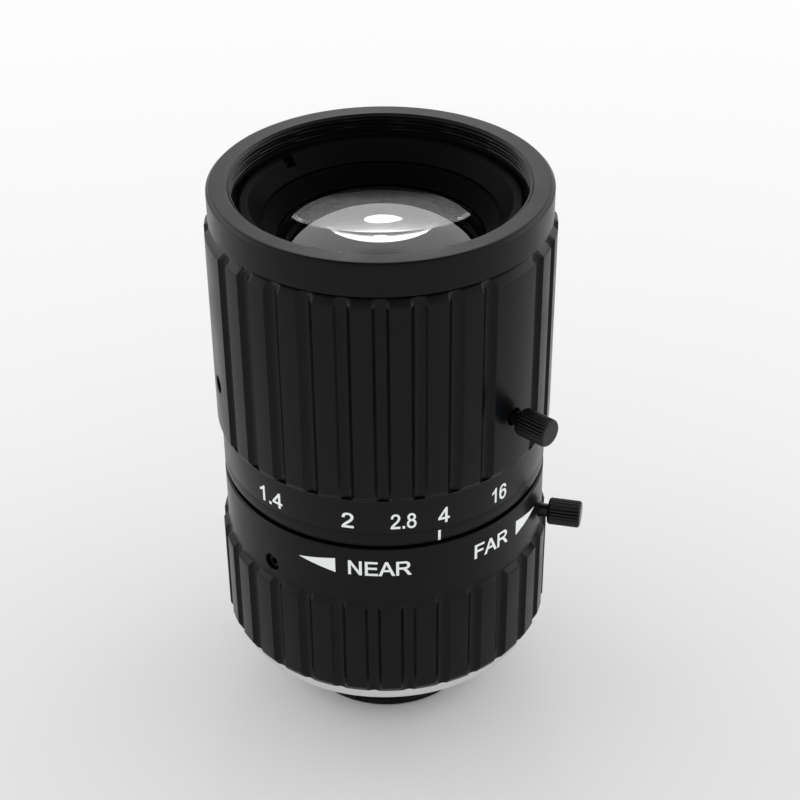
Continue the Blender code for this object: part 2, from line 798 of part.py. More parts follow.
def blade_point(k, radius, sweep, height, closed):
    """A point of blade k, given on the open blade, after the blade turns about its pivot."""
    flat = turned(Vector((radius, 0.0, height)), 360.0 * k / BLADE_COUNT - sweep)
    return turned(flat, -closed, blade_pivot(k))


def blade_height(sweep):
    """Each blade climbs from its pivot to its drive pin, so that all of them cross without touching."""
    ramp = min(max((sweep - 6.0) / 102.0, 0.0), 1.0)
    return IRIS_BASE_Z + IRIS_PLATE + GAP + BLADE_RISE * ramp


def iris_pieces(black, steel):
    closed = BLADE_RATIO * REST_TURN
    plate_top = IRIS_BASE_Z + IRIS_PLATE
    wall_r = INSERT_R - 1.2
    base = lathe(
        "iris_base",
        (
            (IRIS_OPEN_R, IRIS_BASE_Z),
            (INSERT_R, IRIS_BASE_Z),
            (INSERT_R, CAM_RIM_BASE - GAP),
            (wall_r, CAM_RIM_BASE - GAP),
            (wall_r, plate_top),
            (IRIS_OPEN_R, plate_top),
        ),
        black,
    )
    tool = bmesh.new()
    for k in range(BLADE_COUNT):
        hole = PIVOT_PIN_R + GAP
        profile = ((0, IRIS_BASE_Z - 1), (hole, IRIS_BASE_Z - 1), (hole, plate_top + 1), (0, plate_top + 1))
        add_lathe(tool, profile, PIN_SEGMENTS, Matrix.Translation(blade_pivot(k)))
    cut(base, tool)
    shade(base)
    ring = lathe(
        "iris_cam_ring",
        (
            (CAM_OPEN_R, CAM_PLATE_Z),
            (CAM_RIM_BORE_R, CAM_PLATE_Z),
            (CAM_RIM_BORE_R, CAM_RIM_BASE),
            (INSERT_R, CAM_RIM_BASE),
            (INSERT_R, CAM_RIM_TOP),
            (CAM_RIM_BORE_R, CAM_RIM_TOP),
            (CAM_RIM_BORE_R, CAM_PLATE_Z + CAM_PLATE),
            (CAM_OPEN_R, CAM_PLATE_Z + CAM_PLATE),
        ),
        black,
    )
    tool = bmesh.new()
    for azimuth in DRIVE_AZIMUTHS:
        hole = DOG_R + GAP
        inner = INSERT_R - 2.0
        profile = ((0, inner), (hole, inner), (hole, INSERT_R + 1), (0, INSERT_R + 1))
        add_lathe(tool, profile, PIN_SEGMENTS, radial_frame(azimuth, APERTURE_TAP_Z))
    for k in range(BLADE_COUNT):
        add_cam_slot(tool, k)
    cut(ring, tool)
    shade(ring)
    for k in range(BLADE_COUNT):
        make_blade(k, closed, steel)
    for k, azimuth in enumerate(DRIVE_AZIMUTHS):
        outer = SCALE_R - 0.2
        body = APERTURE_BORE_R
        tip = INSERT_R - 1.7
        profile = (
            (0, tip),
            (DOG_R, tip),
            (DOG_R, body),
            (SCREW_R, body),
            (SCREW_R, outer),
            (SOCKET_R, outer),
            (SOCKET_R, outer - SOCKET_DEPTH),
            (0, outer - SOCKET_DEPTH),
        )
        radial_pin(f"iris_drive_screw_{k + 1}", profile, azimuth, APERTURE_TAP_Z, body, steel)


def add_cam_slot(mesh, k):
    """The path of a drive pin as the cam ring sees it, widened by the pin and the gap."""
    half = DRIVE_PIN_R + GAP
    steps = 8
    path = []
    for i in range(steps + 1):
        ring_turn = CLOSED_TURN * i / steps
        pin = blade_point(k, BLADE_PIN_R, BLADE_PIN_AT, 0.0, BLADE_RATIO * ring_turn)
        path.append(turned(pin, ring_turn - REST_TURN))
    left = []
    right = []
    for i, point in enumerate(path):
        ahead = path[min(i + 1, steps)] - path[max(i - 1, 0)]
        side = Vector((-ahead.y, ahead.x, 0.0)).normalized() * half
        left.append(point + side)
        right.append(point - side)
    first = (path[0] - path[1]).normalized() * half
    last = (path[-1] - path[-2]).normalized() * half
    outline = right + cap_points(path[-1], last) + list(reversed(left)) + cap_points(path[0], first)
    base = CAM_PLATE_Z - 0.6
    top = CAM_PLATE_Z + CAM_PLATE + 0.6
    rows = [[Vector((p.x, p.y, height)) for p in outline] for height in (base, top)]
    add_loft(mesh, rows)


def cap_points(end, forward):
    """Three points of a half circle round the end of a slot, from its right side to its left."""
    return [end + turned(forward, angle) for angle in (-45.0, 0.0, 45.0)]


def make_blade(k, closed, material):
    stops = [BLADE_START, 0.0, 6.0]
    stops += [6.0 + 102.0 * i / 12 for i in range(1, 13)]
    stops += [115.0, BLADE_END]
    rows = []
    for sweep in stops:
        trim = 0.9 if sweep in (BLADE_START, BLADE_END) else 0.0
        low = blade_height(sweep)
        high = low + BLADE_THICKNESS
        rows.append(
            [
                blade_point(k, BLADE_INNER_R + trim, sweep, low, closed),
                blade_point(k, BLADE_OUTER_R - trim, sweep, low, closed),
                blade_point(k, BLADE_OUTER_R - trim, sweep, high, closed),
                blade_point(k, BLADE_INNER_R + trim, sweep, high, closed),
            ]
        )
    mesh = bmesh.new()
    add_loft(mesh, rows)
    blade = make(f"iris_blade_{k + 1}", mesh, material, blade_pivot(k))
    pins = bmesh.new()
    middle = BLADE_THICKNESS / 2
    pivot_top = blade_height(0.0) + middle
    pivot_base = IRIS_BASE_Z + 0.3
    profile = ((0, pivot_base), (PIVOT_PIN_R, pivot_base), (PIVOT_PIN_R, pivot_top), (0, pivot_top))
    add_lathe(pins, profile, PIN_SEGMENTS, Matrix.Translation(blade_pivot(k)))
    drive_base = blade_height(BLADE_PIN_AT) + middle
    drive_top = CAM_PLATE_Z + CAM_PLATE - 0.2
    spot = blade_point(k, BLADE_PIN_R, BLADE_PIN_AT, 0.0, closed)
    profile = ((0, drive_base), (DRIVE_PIN_R, drive_base), (DRIVE_PIN_R, drive_top), (0, drive_top))
    add_lathe(pins, profile, PIN_SEGMENTS, Matrix.Translation(spot))
    combine(blade, pins, "UNION")
    shade(blade)


def aperture_pieces(black, nylon):
    stations = grip_stations(APERTURE_LAND_R, APERTURE_FLUTE_AZIMUTH, PLAIN_PANELS)
    slope = (APERTURE_LAND_R - SCALE_R) / (APERTURE_GRIP_BASE - SCALE_TOP)
    ledge_r = SCALE_R + slope * (FLUTE_END - SCALE_TOP)
    outline = (
        (SCALE_R - 0.15, APERTURE_BASE, False),
        (SCALE_R, APERTURE_BASE + 0.15, False),
        (SCALE_R, SCALE_TOP, False),
        (ledge_r, FLUTE_END, False),
        (ledge_r + 0.05 * slope, FLUTE_END + 0.05, True),
        (APERTURE_LAND_R, APERTURE_GRIP_BASE, True),
        (APERTURE_LAND_R, APERTURE_TOP - LAND_CHAMFER_HEIGHT, True),
        (APERTURE_LAND_R - LAND_CHAMFER_WIDTH, APERTURE_TOP, True),
    )
    mesh = bmesh.new()
    add_loft(mesh, grip_rows(stations, outline))
    ring = make("aperture_ring", mesh, black)
    tool = bmesh.new()
    profile = (
        (0, APERTURE_BASE - 1),
        (APERTURE_BORE_R, APERTURE_BASE - 1),
        (APERTURE_BORE_R, APERTURE_TOP + 1),
        (0, APERTURE_TOP + 1),
    )
    add_lathe(tool, profile, TUBE_SEGMENTS)
    cut(ring, tool)
    taps = bmesh.new()
    azimuths = (APERTURE_THUMB_AZIMUTH, *DRIVE_AZIMUTHS)
    tap_tool(taps, azimuths, APERTURE_TAP_Z, APERTURE_BORE_R - 2, APERTURE_LAND_R + 2)
    cut(ring, taps)
    shade(ring)
    pad_end = APERTURE_BORE_R + PAD_LENGTH
    pad = ((0, APERTURE_BORE_R), (SCREW_R, APERTURE_BORE_R), (SCREW_R, pad_end), (0, pad_end))
    radial_pin("aperture_lock_pad", pad, APERTURE_THUMB_AZIMUTH, APERTURE_TAP_Z, APERTURE_BORE_R, nylon)
    head = APERTURE_LAND_R + NECK_LENGTH
    thumbscrew("aperture_lock_screw", APERTURE_THUMB_AZIMUTH, APERTURE_TAP_Z, pad_end + GAP, head, black)


def main():
    clear_scene()
    black = finish("black_anodised_aluminium", (0.02, 0.02, 0.022), 0.0, 0.42)
    baffle_black = finish("matt_black_baffle", (0.01, 0.01, 0.01), 0.0, 0.8)
    aluminium = finish("bare_aluminium", (0.8, 0.8, 0.8), 1.0, 0.3)
    steel = finish("blackened_steel", (0.08, 0.08, 0.085), 1.0, 0.4)
    nylon = finish("white_nylon", (0.8, 0.78, 0.72), 0.0, 0.5)
    glass = finish("coated_glass", (0.75, 0.8, 0.85), 0.0, 0.02, 1.0)
    mount_pieces(black, aluminium, steel)
    focus_pieces(black, steel, nylon)
    barrel_pieces(black, baffle_black, steel)
    glass_pieces(black, glass)
    iris_pieces(black, steel)
    aperture_pieces(black, nylon)


main()
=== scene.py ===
import json
import math

import bmesh
import bpy
import numpy as np
from mathutils import Matrix, Vector


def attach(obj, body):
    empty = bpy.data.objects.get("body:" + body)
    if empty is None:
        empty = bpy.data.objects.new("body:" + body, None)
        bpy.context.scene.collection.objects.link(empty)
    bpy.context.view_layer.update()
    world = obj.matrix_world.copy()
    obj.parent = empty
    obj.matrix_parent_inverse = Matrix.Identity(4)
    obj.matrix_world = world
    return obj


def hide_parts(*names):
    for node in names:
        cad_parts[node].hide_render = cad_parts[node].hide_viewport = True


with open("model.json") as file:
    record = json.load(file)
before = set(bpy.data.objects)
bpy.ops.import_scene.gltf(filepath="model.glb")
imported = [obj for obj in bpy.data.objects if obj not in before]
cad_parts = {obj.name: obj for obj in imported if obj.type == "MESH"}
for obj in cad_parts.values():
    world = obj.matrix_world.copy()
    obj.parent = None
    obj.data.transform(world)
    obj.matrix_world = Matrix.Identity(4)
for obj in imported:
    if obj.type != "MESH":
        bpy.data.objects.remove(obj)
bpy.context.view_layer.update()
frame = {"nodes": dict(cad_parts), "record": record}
print("frame loaded:", len(frame["nodes"]), "nodes")

# Sizes below are millimetres on the lens axis Z, from the end of the mount thread.
# Azimuth 0 faces -Y, toward the camera, and grows toward +X.
mm = 0.001
degree = math.pi / 180
bumpHeight = 0.01 * mm  # how deep a finish's grain or lathe mark is at full strength
lathePull = (0.02, 0.02, 1.0)  # draws noise out round the axis, into the rings that a lathe leaves
ringSteps = 240  # sides of a plain turned ring


# Colours and materials

def linearColour(hexText):
    # sRGB byte to linear light, one channel at a time.
    channels = []
    for start in (0, 2, 4):
        value = int(hexText[start:start + 2], 16) / 255
        channels.append(value / 12.92 if value <= 0.04045 else ((value + 0.055) / 1.055) ** 2.4)
    return (*channels, 1.0)


def addNode(tree, kind, settings=None, links=None):
    # Settings go to a property of that name, or else to the input socket; links come from output sockets.
    node = tree.nodes.new(kind)
    for key, value in (settings or {}).items():
        if isinstance(key, str) and hasattr(node, key):
            setattr(node, key, value)
        else:
            node.inputs[key].default_value = value
    for key, source in (links or {}).items():
        tree.links.new(source, node.inputs[key])
    return node


def newMaterial(name):
    material = bpy.data.materials.new(name)
    material.use_nodes = True
    tree = material.node_tree
    tree.nodes.clear()
    output = tree.nodes.new("ShaderNodeOutputMaterial")
    return material, tree, output


def objectPoint(tree):
    return tree.nodes.new("ShaderNodeTexCoord").outputs["Object"]


def makeAnodised(name, look):
    # Type II black anodising over a fine bead-blasted and turned surface.
    # It gives a soft, slightly grainy sheen, with faint rings left by the lathe.
    material, tree, output = newMaterial(name)
    point = objectPoint(tree)
    grain = addNode(
        tree,
        "ShaderNodeTexNoise",
        {"Scale": 1 / (look["grain"] * mm), "Detail": 3.0},
        {"Vector": point},
    )
    cloud = addNode(
        tree,
        "ShaderNodeTexNoise",
        {"Scale": 1 / (look["cloud"] * mm), "Detail": 2.0},
        {"Vector": point},
    )
    squeeze = addNode(tree, "ShaderNodeMapping", {"Scale": lathePull}, {"Vector": point})
    turning = addNode(
        tree,
        "ShaderNodeTexNoise",
        {"Scale": 1 / (look["turning"] * mm), "Detail": 2.0},
        {"Vector": squeeze.outputs[0]},
    )
    colour = addNode(
        tree,
        "ShaderNodeMix",
        {"data_type": "RGBA", 6: linearColour(look["dark"]), 7: linearColour(look["light"])},
        {0: cloud.outputs["Fac"]},
    )
    gloss = addNode(
        tree,
        "ShaderNodeMapRange",
        {
            "From Min": 0.3,
            "From Max": 0.7,
            "To Min": look["roughness"] - 0.04,
            "To Max": look["roughness"] + 0.05,
        },
        {"Value": cloud.outputs["Fac"]},
    )
    fine = addNode(
        tree,
        "ShaderNodeBump",
        {"Strength": look["grainBump"], "Distance": bumpHeight},
        {"Height": grain.outputs["Fac"]},
    )
    rings = addNode(
        tree,
        "ShaderNodeBump",
        {"Strength": look["turnBump"], "Distance": bumpHeight},
        {"Height": turning.outputs["Fac"], "Normal": fine.outputs[0]},
    )
    shader = addNode(
        tree,
        "ShaderNodeBsdfPrincipled",
        {"Specular IOR Level": look["specular"]},
        {"Base Color": colour.outputs[2], "Roughness": gloss.outputs[0], "Normal": rings.outputs[0]},
    )
    tree.links.new(shader.outputs[0], output.inputs[0])
    return material


def makeMetal(name, look):
    # Bare metal: a turned aluminium or blackened steel face with lathe rings in its gloss.
    material, tree, output = newMaterial(name)
    point = objectPoint(tree)
    squeeze = addNode(tree, "ShaderNodeMapping", {"Scale": look["stretch"]}, {"Vector": point})
    turning = addNode(
        tree,
        "ShaderNodeTexNoise",
        {"Scale": 1 / (look["turning"] * mm), "Detail": 3.0},
        {"Vector": squeeze.outputs[0]},
    )
    gloss = addNode(
        tree,
        "ShaderNodeMapRange",
        {"To Min": look["roughness"] - 0.06, "To Max": look["roughness"] + 0.08},
        {"Value": turning.outputs["Fac"]},
    )
    bump = addNode(
        tree,
        "ShaderNodeBump",
        {"Strength": look["bump"], "Distance": bumpHeight},
        {"Height": turning.outputs["Fac"]},
    )
    colour = addNode(
        tree,
        "ShaderNodeMix",
        {"data_type": "RGBA", 6: linearColour(look["dark"]), 7: linearColour(look["light"])},
        {0: turning.outputs["Fac"]},
    )
    shader = addNode(
        tree,
        "ShaderNodeBsdfPrincipled",
        {"Metallic": 1.0},
        {"Base Color": colour.outputs[2], "Roughness": gloss.outputs[0], "Normal": bump.outputs[0]},
    )
    tree.links.new(shader.outputs[0], output.inputs[0])
    return material


def makePlain(name, look):
    # Paint, matt coating or nylon: one colour with a little cloud in it and a fine tooth.
    material, tree, output = newMaterial(name)
    point = objectPoint(tree)
    cloud = addNode(
        tree,
        "ShaderNodeTexNoise",
        {"Scale": 1 / (look["cloud"] * mm), "Detail": 3.0},
        {"Vector": point},
    )
    colour = addNode(
        tree,
        "ShaderNodeMix",
        {"data_type": "RGBA", 6: linearColour(look["dark"]), 7: linearColour(look["light"])},
        {0: cloud.outputs["Fac"]},
    )
    bump = addNode(
        tree,
        "ShaderNodeBump",
        {"Strength": look["bump"], "Distance": bumpHeight},
        {"Height": cloud.outputs["Fac"]},
    )
    shader = addNode(
        tree,
        "ShaderNodeBsdfPrincipled",
        {"Roughness": look["roughness"], "Specular IOR Level": look["specular"]},
        {"Base Color": colour.outputs[2], "Normal": bump.outputs[0]},
    )
    tree.links.new(shader.outputs[0], output.inputs[0])
    return material


def makeGlass(name, look):
    # Polished optical glass with an anti-reflection coating, which leaves a faint cool tint in its gloss.
    material, tree, output = newMaterial(name)
    point = objectPoint(tree)
    haze = addNode(
        tree,
        "ShaderNodeTexNoise",
        {"Scale": 1 / (look["cloud"] * mm), "Detail": 2.0},
        {"Vector": point},
    )
    colour = addNode(
        tree,
        "ShaderNodeMix",
        {"data_type": "RGBA", 6: linearColour(look["dark"]), 7: linearColour(look["light"])},
        {0: haze.outputs["Fac"]},
    )
    shader = addNode(
        tree,
        "ShaderNodeBsdfPrincipled",
        {"Roughness": look["roughness"], "IOR": look["ior"], "Transmission Weight": 1.0},
        {"Base Color": colour.outputs[2]},
    )
    tree.links.new(shader.outputs[0], output.inputs[0])
    return material


# Sizes in the looks are millimetres: grain of the blasting, clouds in the tone, spacing of lathe rings.
anodisedLook = {
    "dark": "050608",
    "light": "08090c",
    "roughness": 0.3,
    "specular": 0.15,
    "grain": 0.12,
    "cloud": 6.0,
    "turning": 0.25,
    "grainBump": 0.25,
    "turnBump": 0.1,
}
innerLook = {
    **anodisedLook,
    "dark": "060607",
    "light": "0a0a0b",
    "roughness": 0.45,
    "specular": 0.02,
    "turnBump": 0.25,
}
screwLook = {**anodisedLook, "dark": "050506", "light": "08080a", "specular": 0.25}
steelLook = {
    "dark": "101112",
    "light": "18191a",
    "roughness": 0.35,
    "turning": 0.3,
    "bump": 0.2,
    "stretch": (1, 1, 1),
}
aluminiumLook = {
    "dark": "cfd1d2",
    "light": "e4e5e6",
    "roughness": 0.3,
    "turning": 0.2,
    "bump": 0.3,
    "stretch": lathePull,
}
baffleLook = {
    "dark": "020202",
    "light": "040404",
    "roughness": 0.7,
    "specular": 0.04,
    "cloud": 0.2,
    "bump": 0.3,
}
paintLook = {
    "dark": "dfe2e3",
    "light": "f2f4f4",
    "roughness": 0.5,
    "specular": 0.4,
    "cloud": 0.15,
    "bump": 0.2,
}
nylonLook = {
    "dark": "d8d4c8",
    "light": "e6e2d8",
    "roughness": 0.45,
    "specular": 0.5,
    "cloud": 0.8,
    "bump": 0.1,
}
edgeInkLook = {
    "dark": "040404",
    "light": "070707",
    "roughness": 0.5,
    "specular": 0.3,
    "cloud": 0.5,
    "bump": 0.1,
}
# Lanthanum crown, the usual glass of a short fast lens.
glassLook = {"dark": "f4f8f6", "light": "fbfdfc", "roughness": 0.0, "ior": 1.72, "cloud": 4.0}

anodised = makeAnodised("blackAnodisedAluminium", anodisedLook)
innerAnodised = makeAnodised("blackAnodisedBore", innerLook)
screwBlack = makeAnodised("blackAnodisedScrew", screwLook)
blackSteel = makeMetal("blackenedSteel", steelLook)
aluminium = makeMetal("turnedAluminium", aluminiumLook)
baffleBlack = makePlain("mattBaffleBlack", baffleLook)
whitePaint = makePlain("filledWhitePaint", paintLook)
nylon = makePlain("naturalNylon", nylonLook)
edgeInk = makePlain("lensEdgeInk", edgeInkLook)
glass = makeGlass("coatedOpticalGlass", glassLook)
print("materials made")


# Surfaces

def roundedOutline(corners, steps=4):
    # corners holds (radius, height, rounding). Each corner becomes a quadratic curve that starts and ends
    # that far along its two sides: (1-t)^2 a + 2t(1-t) corner + t^2 b.
    corners = np.array(corners, float)
    points = []
    t = np.linspace(0, 1, steps + 1)[:, None]
    for i, (radius, height, rounding) in enumerate(corners):
        here = np.array((radius, height))
        if rounding == 0:
            points.append(here[None])
            continue
        sides = []
        for neighbour in (corners[i - 1], corners[(i + 1) % len(corners)]):
            way = neighbour[:2] - here
            sides.append(here + way * (rounding / np.linalg.norm(way)))
        points.append((1 - t) ** 2 * sides[0] + 2 * t * (1 - t) * here + t**2 * sides[1])
    return np.concatenate(points)


def divided(outline, longest, closed=True):
    # Adds points so that no side is longer than longest.
    nextPoints = np.roll(outline, -1, axis=0)
    count = len(outline) if closed else len(outline) - 1
    pieces = []
    for a, b in zip(outline[:count], nextPoints[:count]):
        parts = max(1, math.ceil(np.linalg.norm(b - a) / longest))
        pieces.append(a + (b - a) * np.linspace(0, 1, parts, endpoint=False)[:, None])
    if not closed:
        pieces.append(outline[-1:])
    return np.concatenate(pieces)


def revolve(outline, azimuths, shape=None):
    # Point (i, j) is outline point i at azimuth j: (r sin a, -r cos a, z). shape changes r and z.
    radius = np.repeat(outline[:, :1], len(azimuths), axis=1)
    height = np.repeat(outline[:, 1:2], len(azimuths), axis=1)
    turn = np.repeat(azimuths[None, :], len(outline), axis=0)
    if shape:
        radius, height = shape(radius, height, turn)
    angle = turn * degree
    return np.stack((radius * np.sin(angle), -radius * np.cos(angle), height), axis=-1) * mm


def solidFromGrid(name, points, material, closedRows=True, sharp=35):
    # Columns wrap round. Rows wrap for a ring.
    # Otherwise the first and last row lie on the axis and merge there.
    rows, columns = points.shape[:2]
    index = np.arange(rows * columns).reshape(rows, columns)
    right = np.roll(index, -1, axis=1)
    if closedRows:
        up = np.roll(index, -1, axis=0)
        upRight = np.roll(right, -1, axis=0)
        quads = np.stack((index, right, upRight, up), axis=-1)
    else:
        quads = np.stack((index[:-1], right[:-1], right[1:], index[1:]), axis=-1)
    mesh = bpy.data.meshes.new(name)
    mesh.from_pydata(points.reshape(-1, 3), [], quads.reshape(-1, 4))
    return finishedPiece(name, mesh, material, sharp)


def finishedPiece(name, mesh, material, sharp=35):
    work = bmesh.new()
    work.from_mesh(mesh)
    bmesh.ops.remove_doubles(work, verts=work.verts, dist=1e-7)
    bmesh.ops.recalc_face_normals(work, faces=work.faces)
    work.to_mesh(mesh)
    work.free()
    mesh.materials.append(material)
    mesh.shade_smooth()
    mesh.set_sharp_from_angle(angle=sharp * degree)
    piece = bpy.data.objects.new(name, mesh)
    bpy.context.scene.collection.objects.link(piece)
    return piece


def evenAzimuths(count):
    return np.arange(count) * 360 / count


def place(piece, body, slot, *nodes):
    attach(piece, body)
    if nodes:
        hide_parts(*nodes)
    return piece


screwHole = {"chamfer": 0.12, "outer": 26.0, "sides": 48}


def cutRadialHoles(piece, azimuths, height, radius, inner, surface):
    # One cutter for each hole: a round bore along the radius with a cone that opens at the surface.
    wide = radius + screwHole["chamfer"]
    outer = screwHole["outer"]
    outline = np.array(
        (
            (0, inner),
            (radius, inner),
            (radius, surface - screwHole["chamfer"]),
            (wide, surface),
            (wide, outer),
            (0, outer),
        )
    )
    for azimuth in azimuths:
        points = radialRevolve(outline, evenAzimuths(screwHole["sides"]), azimuth, height)
        cutter = solidFromGrid("cutter", points, anodised, closedRows=False)
        cutWith(piece, cutter)


def radialRevolve(outline, azimuths, azimuth, height, shape=None):
    # The outline's heights become distances from the lens axis, along the radius at this azimuth.
    local = revolve(outline, azimuths, shape)
    outward = np.array((math.sin(azimuth * degree), -math.cos(azimuth * degree), 0.0))
    up = np.array((0.0, 0.0, 1.0))
    side = np.cross(up, outward)
    return local[..., :1] * side + local[..., 1:2] * up + local[..., 2:] * outward + up * height * mm


def cutWith(piece, cutter):
    modifier = piece.modifiers.new("hole", "BOOLEAN")
    modifier.object = cutter
    modifier.solver = "EXACT"
    graph = bpy.context.evaluated_depsgraph_get()
    graph.update()
    result = bpy.data.meshes.new_from_object(piece.evaluated_get(graph))
    piece.modifiers.clear()
    piece.data = result
    bpy.data.objects.remove(cutter, do_unlink=True)
    result.shade_smooth()
    result.set_sharp_from_angle(angle=35 * degree)


# Grips

def softLower(a, b, blend):
    # The lower of two radii with a rounded meeting: -k log(exp(-a/k) + exp(-b/k)).
    lower = np.minimum(a, b)
    return lower - blend * np.log1p(np.exp(-np.abs(a - b) / blend))


uncut = 1.0  # how far above the land the flutes' surface stands where nothing is cut
thinnestWall = 0.8  # points nearer to the bore than this belong to the bore, not to the grip


def fluteShape(grip):
    # A round flute of radius f, centred c from the axis, leaves r = c cos d - sqrt(f^2 - c^2 sin^2 d).
    centre = grip["land"] + grip["outset"]

    def shape(radius, height, turn):
        pitch = 360 / grip["flutes"]
        k = np.round((turn - grip["firstFlute"]) / pitch)
        middle = grip["firstFlute"] + k * pitch
        offset = (turn - middle) * degree
        side = centre * np.sin(offset)
        inside = np.clip(grip["fluteRadius"] ** 2 - side**2, 0, None)
        floor = centre * np.cos(offset) - np.sqrt(inside)
        floor = np.where(np.abs(side) > grip["fluteRadius"], grip["land"] + uncut, floor)
        for panel in grip["plainPanels"]:
            away = np.abs((middle - panel + 180) % 360 - 180)
            floor = np.where(away < 1, grip["land"] + uncut, floor)
        fluted = (height > grip["fluteFrom"]) & (height < grip["fluteTo"])
        fluted &= radius > grip["bore"] + thinnestWall
        return np.where(fluted, softLower(radius, floor, grip["edge"]), radius), height

    return shape


def gripAzimuths(grip):
    # Stations crowd together across each flute and its edges.
    pitch = 360 / grip["flutes"]
    half = 1.5 * math.asin(grip["fluteRadius"] / grip["land"]) / degree
    cut = np.linspace(-half, half, 25)
    land = np.linspace(half, pitch - half, 5)[1:-1]
    across = np.concatenate((cut, land))
    starts = grip["firstFlute"] + np.arange(grip["flutes"]) * pitch
    return (starts[:, None] + across[None, :]).reshape(-1)


aperture = {
    "bore": 20.9,
    "base": 39.77,
    "top": 75.15,
    "scaleRadius": 22.42,
    "scaleTop": 44.9,
    "gripBase": 45.8,
    "land": 23.0,
    "chamferWidth": 1.1,
    "chamferHeight": 1.0,
    "flutes": 30,
    "firstFlute": 0.0,
    "fluteRadius": 1.1,
    "outset": 0.36,
    "edge": 0.04,
    "plainPanels": (48, 168, 288),
    "fluteFrom": 45.22,
    "fluteTo": 80.0,
    "holes": (48, -72, 168),
    "holeHeight": 53.3,
    "holeRadius": 1.25,
    "holeInner": 19.0,
}


def makeApertureRing():
    a = aperture
    slope = (a["land"] - a["scaleRadius"]) / (a["gripBase"] - a["scaleTop"])
    ledge = a["scaleRadius"] + slope * (a["fluteFrom"] - a["scaleTop"])
    outline = roundedOutline(
        (
            (a["bore"], a["base"], 0),
            (a["scaleRadius"], a["base"], 0.03),
            (a["scaleRadius"], a["scaleTop"], 0.1),
            (ledge, a["fluteFrom"] - 0.01, 0),
            (ledge + 0.02 * slope, a["fluteFrom"] + 0.01, 0),
            (a["land"], a["gripBase"], 0.15),
            (a["land"], a["top"] - a["chamferHeight"], 0.08),
            (a["land"] - a["chamferWidth"], a["top"], 0.08),
            (a["bore"], a["top"], 0),
        )
    )
    ring = solidFromGrid("apertureRing", revolve(outline, gripAzimuths(a), fluteShape(a)), anodised)
    cutRadialHoles(ring, a["holes"], a["holeHeight"], a["holeRadius"], a["holeInner"], a["land"])
    place(ring, "aperture_ring", "black_anodised_aluminium", "aperture_ring")


focus = {
    "bore": 20.7,
    "base": 12.4,
    "top": 37.0,
    "bandRadius": 22.45,
    "gripTop": 28.0,
    "land": 23.2,
    "baseRadius": 22.7,
    "baseTaper": 0.9,
    "topChamfer": 0.65,
    "bandChamfer": 0.22,
    "counterbore": 21.7,
    "counterboreFrom": 35.2,
    "flutes": 30,
    "firstFlute": 8.0,
    "fluteRadius": 1.1,
    "outset": 0.36,
    "edge": 0.04,
    "plainPanels": (),
    "fluteFrom": 10.0,
    "fluteTo": 27.98,
    "holes": (77, -43, 197),
    "holeHeight": 30.4,
    "holeRadius": 1.25,
    "holeInner": 18.0,
}


def makeFocusRing():
    f = focus
    outline = roundedOutline(
        (
            (f["bore"], f["base"], 0),
            (f["baseRadius"], f["base"], 0.1),
            (f["land"], f["base"] + f["baseTaper"], 0.2),
            (f["land"], f["gripTop"] - f["topChamfer"], 0.12),
            (f["bandRadius"], f["gripTop"], 0.05),
            (f["bandRadius"], f["top"] - f["bandChamfer"], 0.03),
            (f["bandRadius"] - f["bandChamfer"], f["top"], 0.03),
            (f["counterbore"], f["top"], 0),
            (f["counterbore"], f["counterboreFrom"], 0),
            (f["bore"], f["counterboreFrom"], 0),
        )
    )
    ring = solidFromGrid("focusRing", revolve(outline, gripAzimuths(f), fluteShape(f)), anodised)
    cutRadialHoles(ring, f["holes"], f["holeHeight"], f["holeRadius"], f["holeInner"], f["bandRadius"])
    place(ring, "focus_ring", "black_anodised_aluminium", "focus_ring")


makeApertureRing()
makeFocusRing()
print("grips made")


# Plain turned rings

indexRing = {"bore": 20.9, "neck": 21.9, "radius": 22.42, "base": 37.3, "step": 38.2, "top": 39.74}


def makeIndexRing():
    r = indexRing
    outline = roundedOutline(
        (
            (r["bore"], r["base"], 0),
            (r["neck"], r["base"], 0.08),
            (r["neck"], r["step"], 0.05),
            (r["radius"], r["step"], 0.12),
            (r["radius"], r["top"], 0.03),
            (r["bore"], r["top"], 0),
        )
    )
    ring = solidFromGrid("indexRing", revolve(outline, evenAzimuths(ringSteps)), anodised)
    place(ring, "front_barrel", "black_anodised_aluminium", "index_ring")


hood = {
    "radius": 22.45,
    "base": 75.45,
    "top": 80.0,
    "chamfer": 0.45,
    "rim": 19.72,
    "threadRadius": 19.45,
    "threadPitch": 0.5,
    "threadDepth": 0.2,
    "threadLead": 0.35,
    "threadRelief": 0.25,
    "ledge": 77.3,
    "seatBore": 19.15,
    "seat": 76.2,
    "spigotRadius": 18.7,
    "spigotBore": 17.3,
    "spigotBase": 72.0,
}


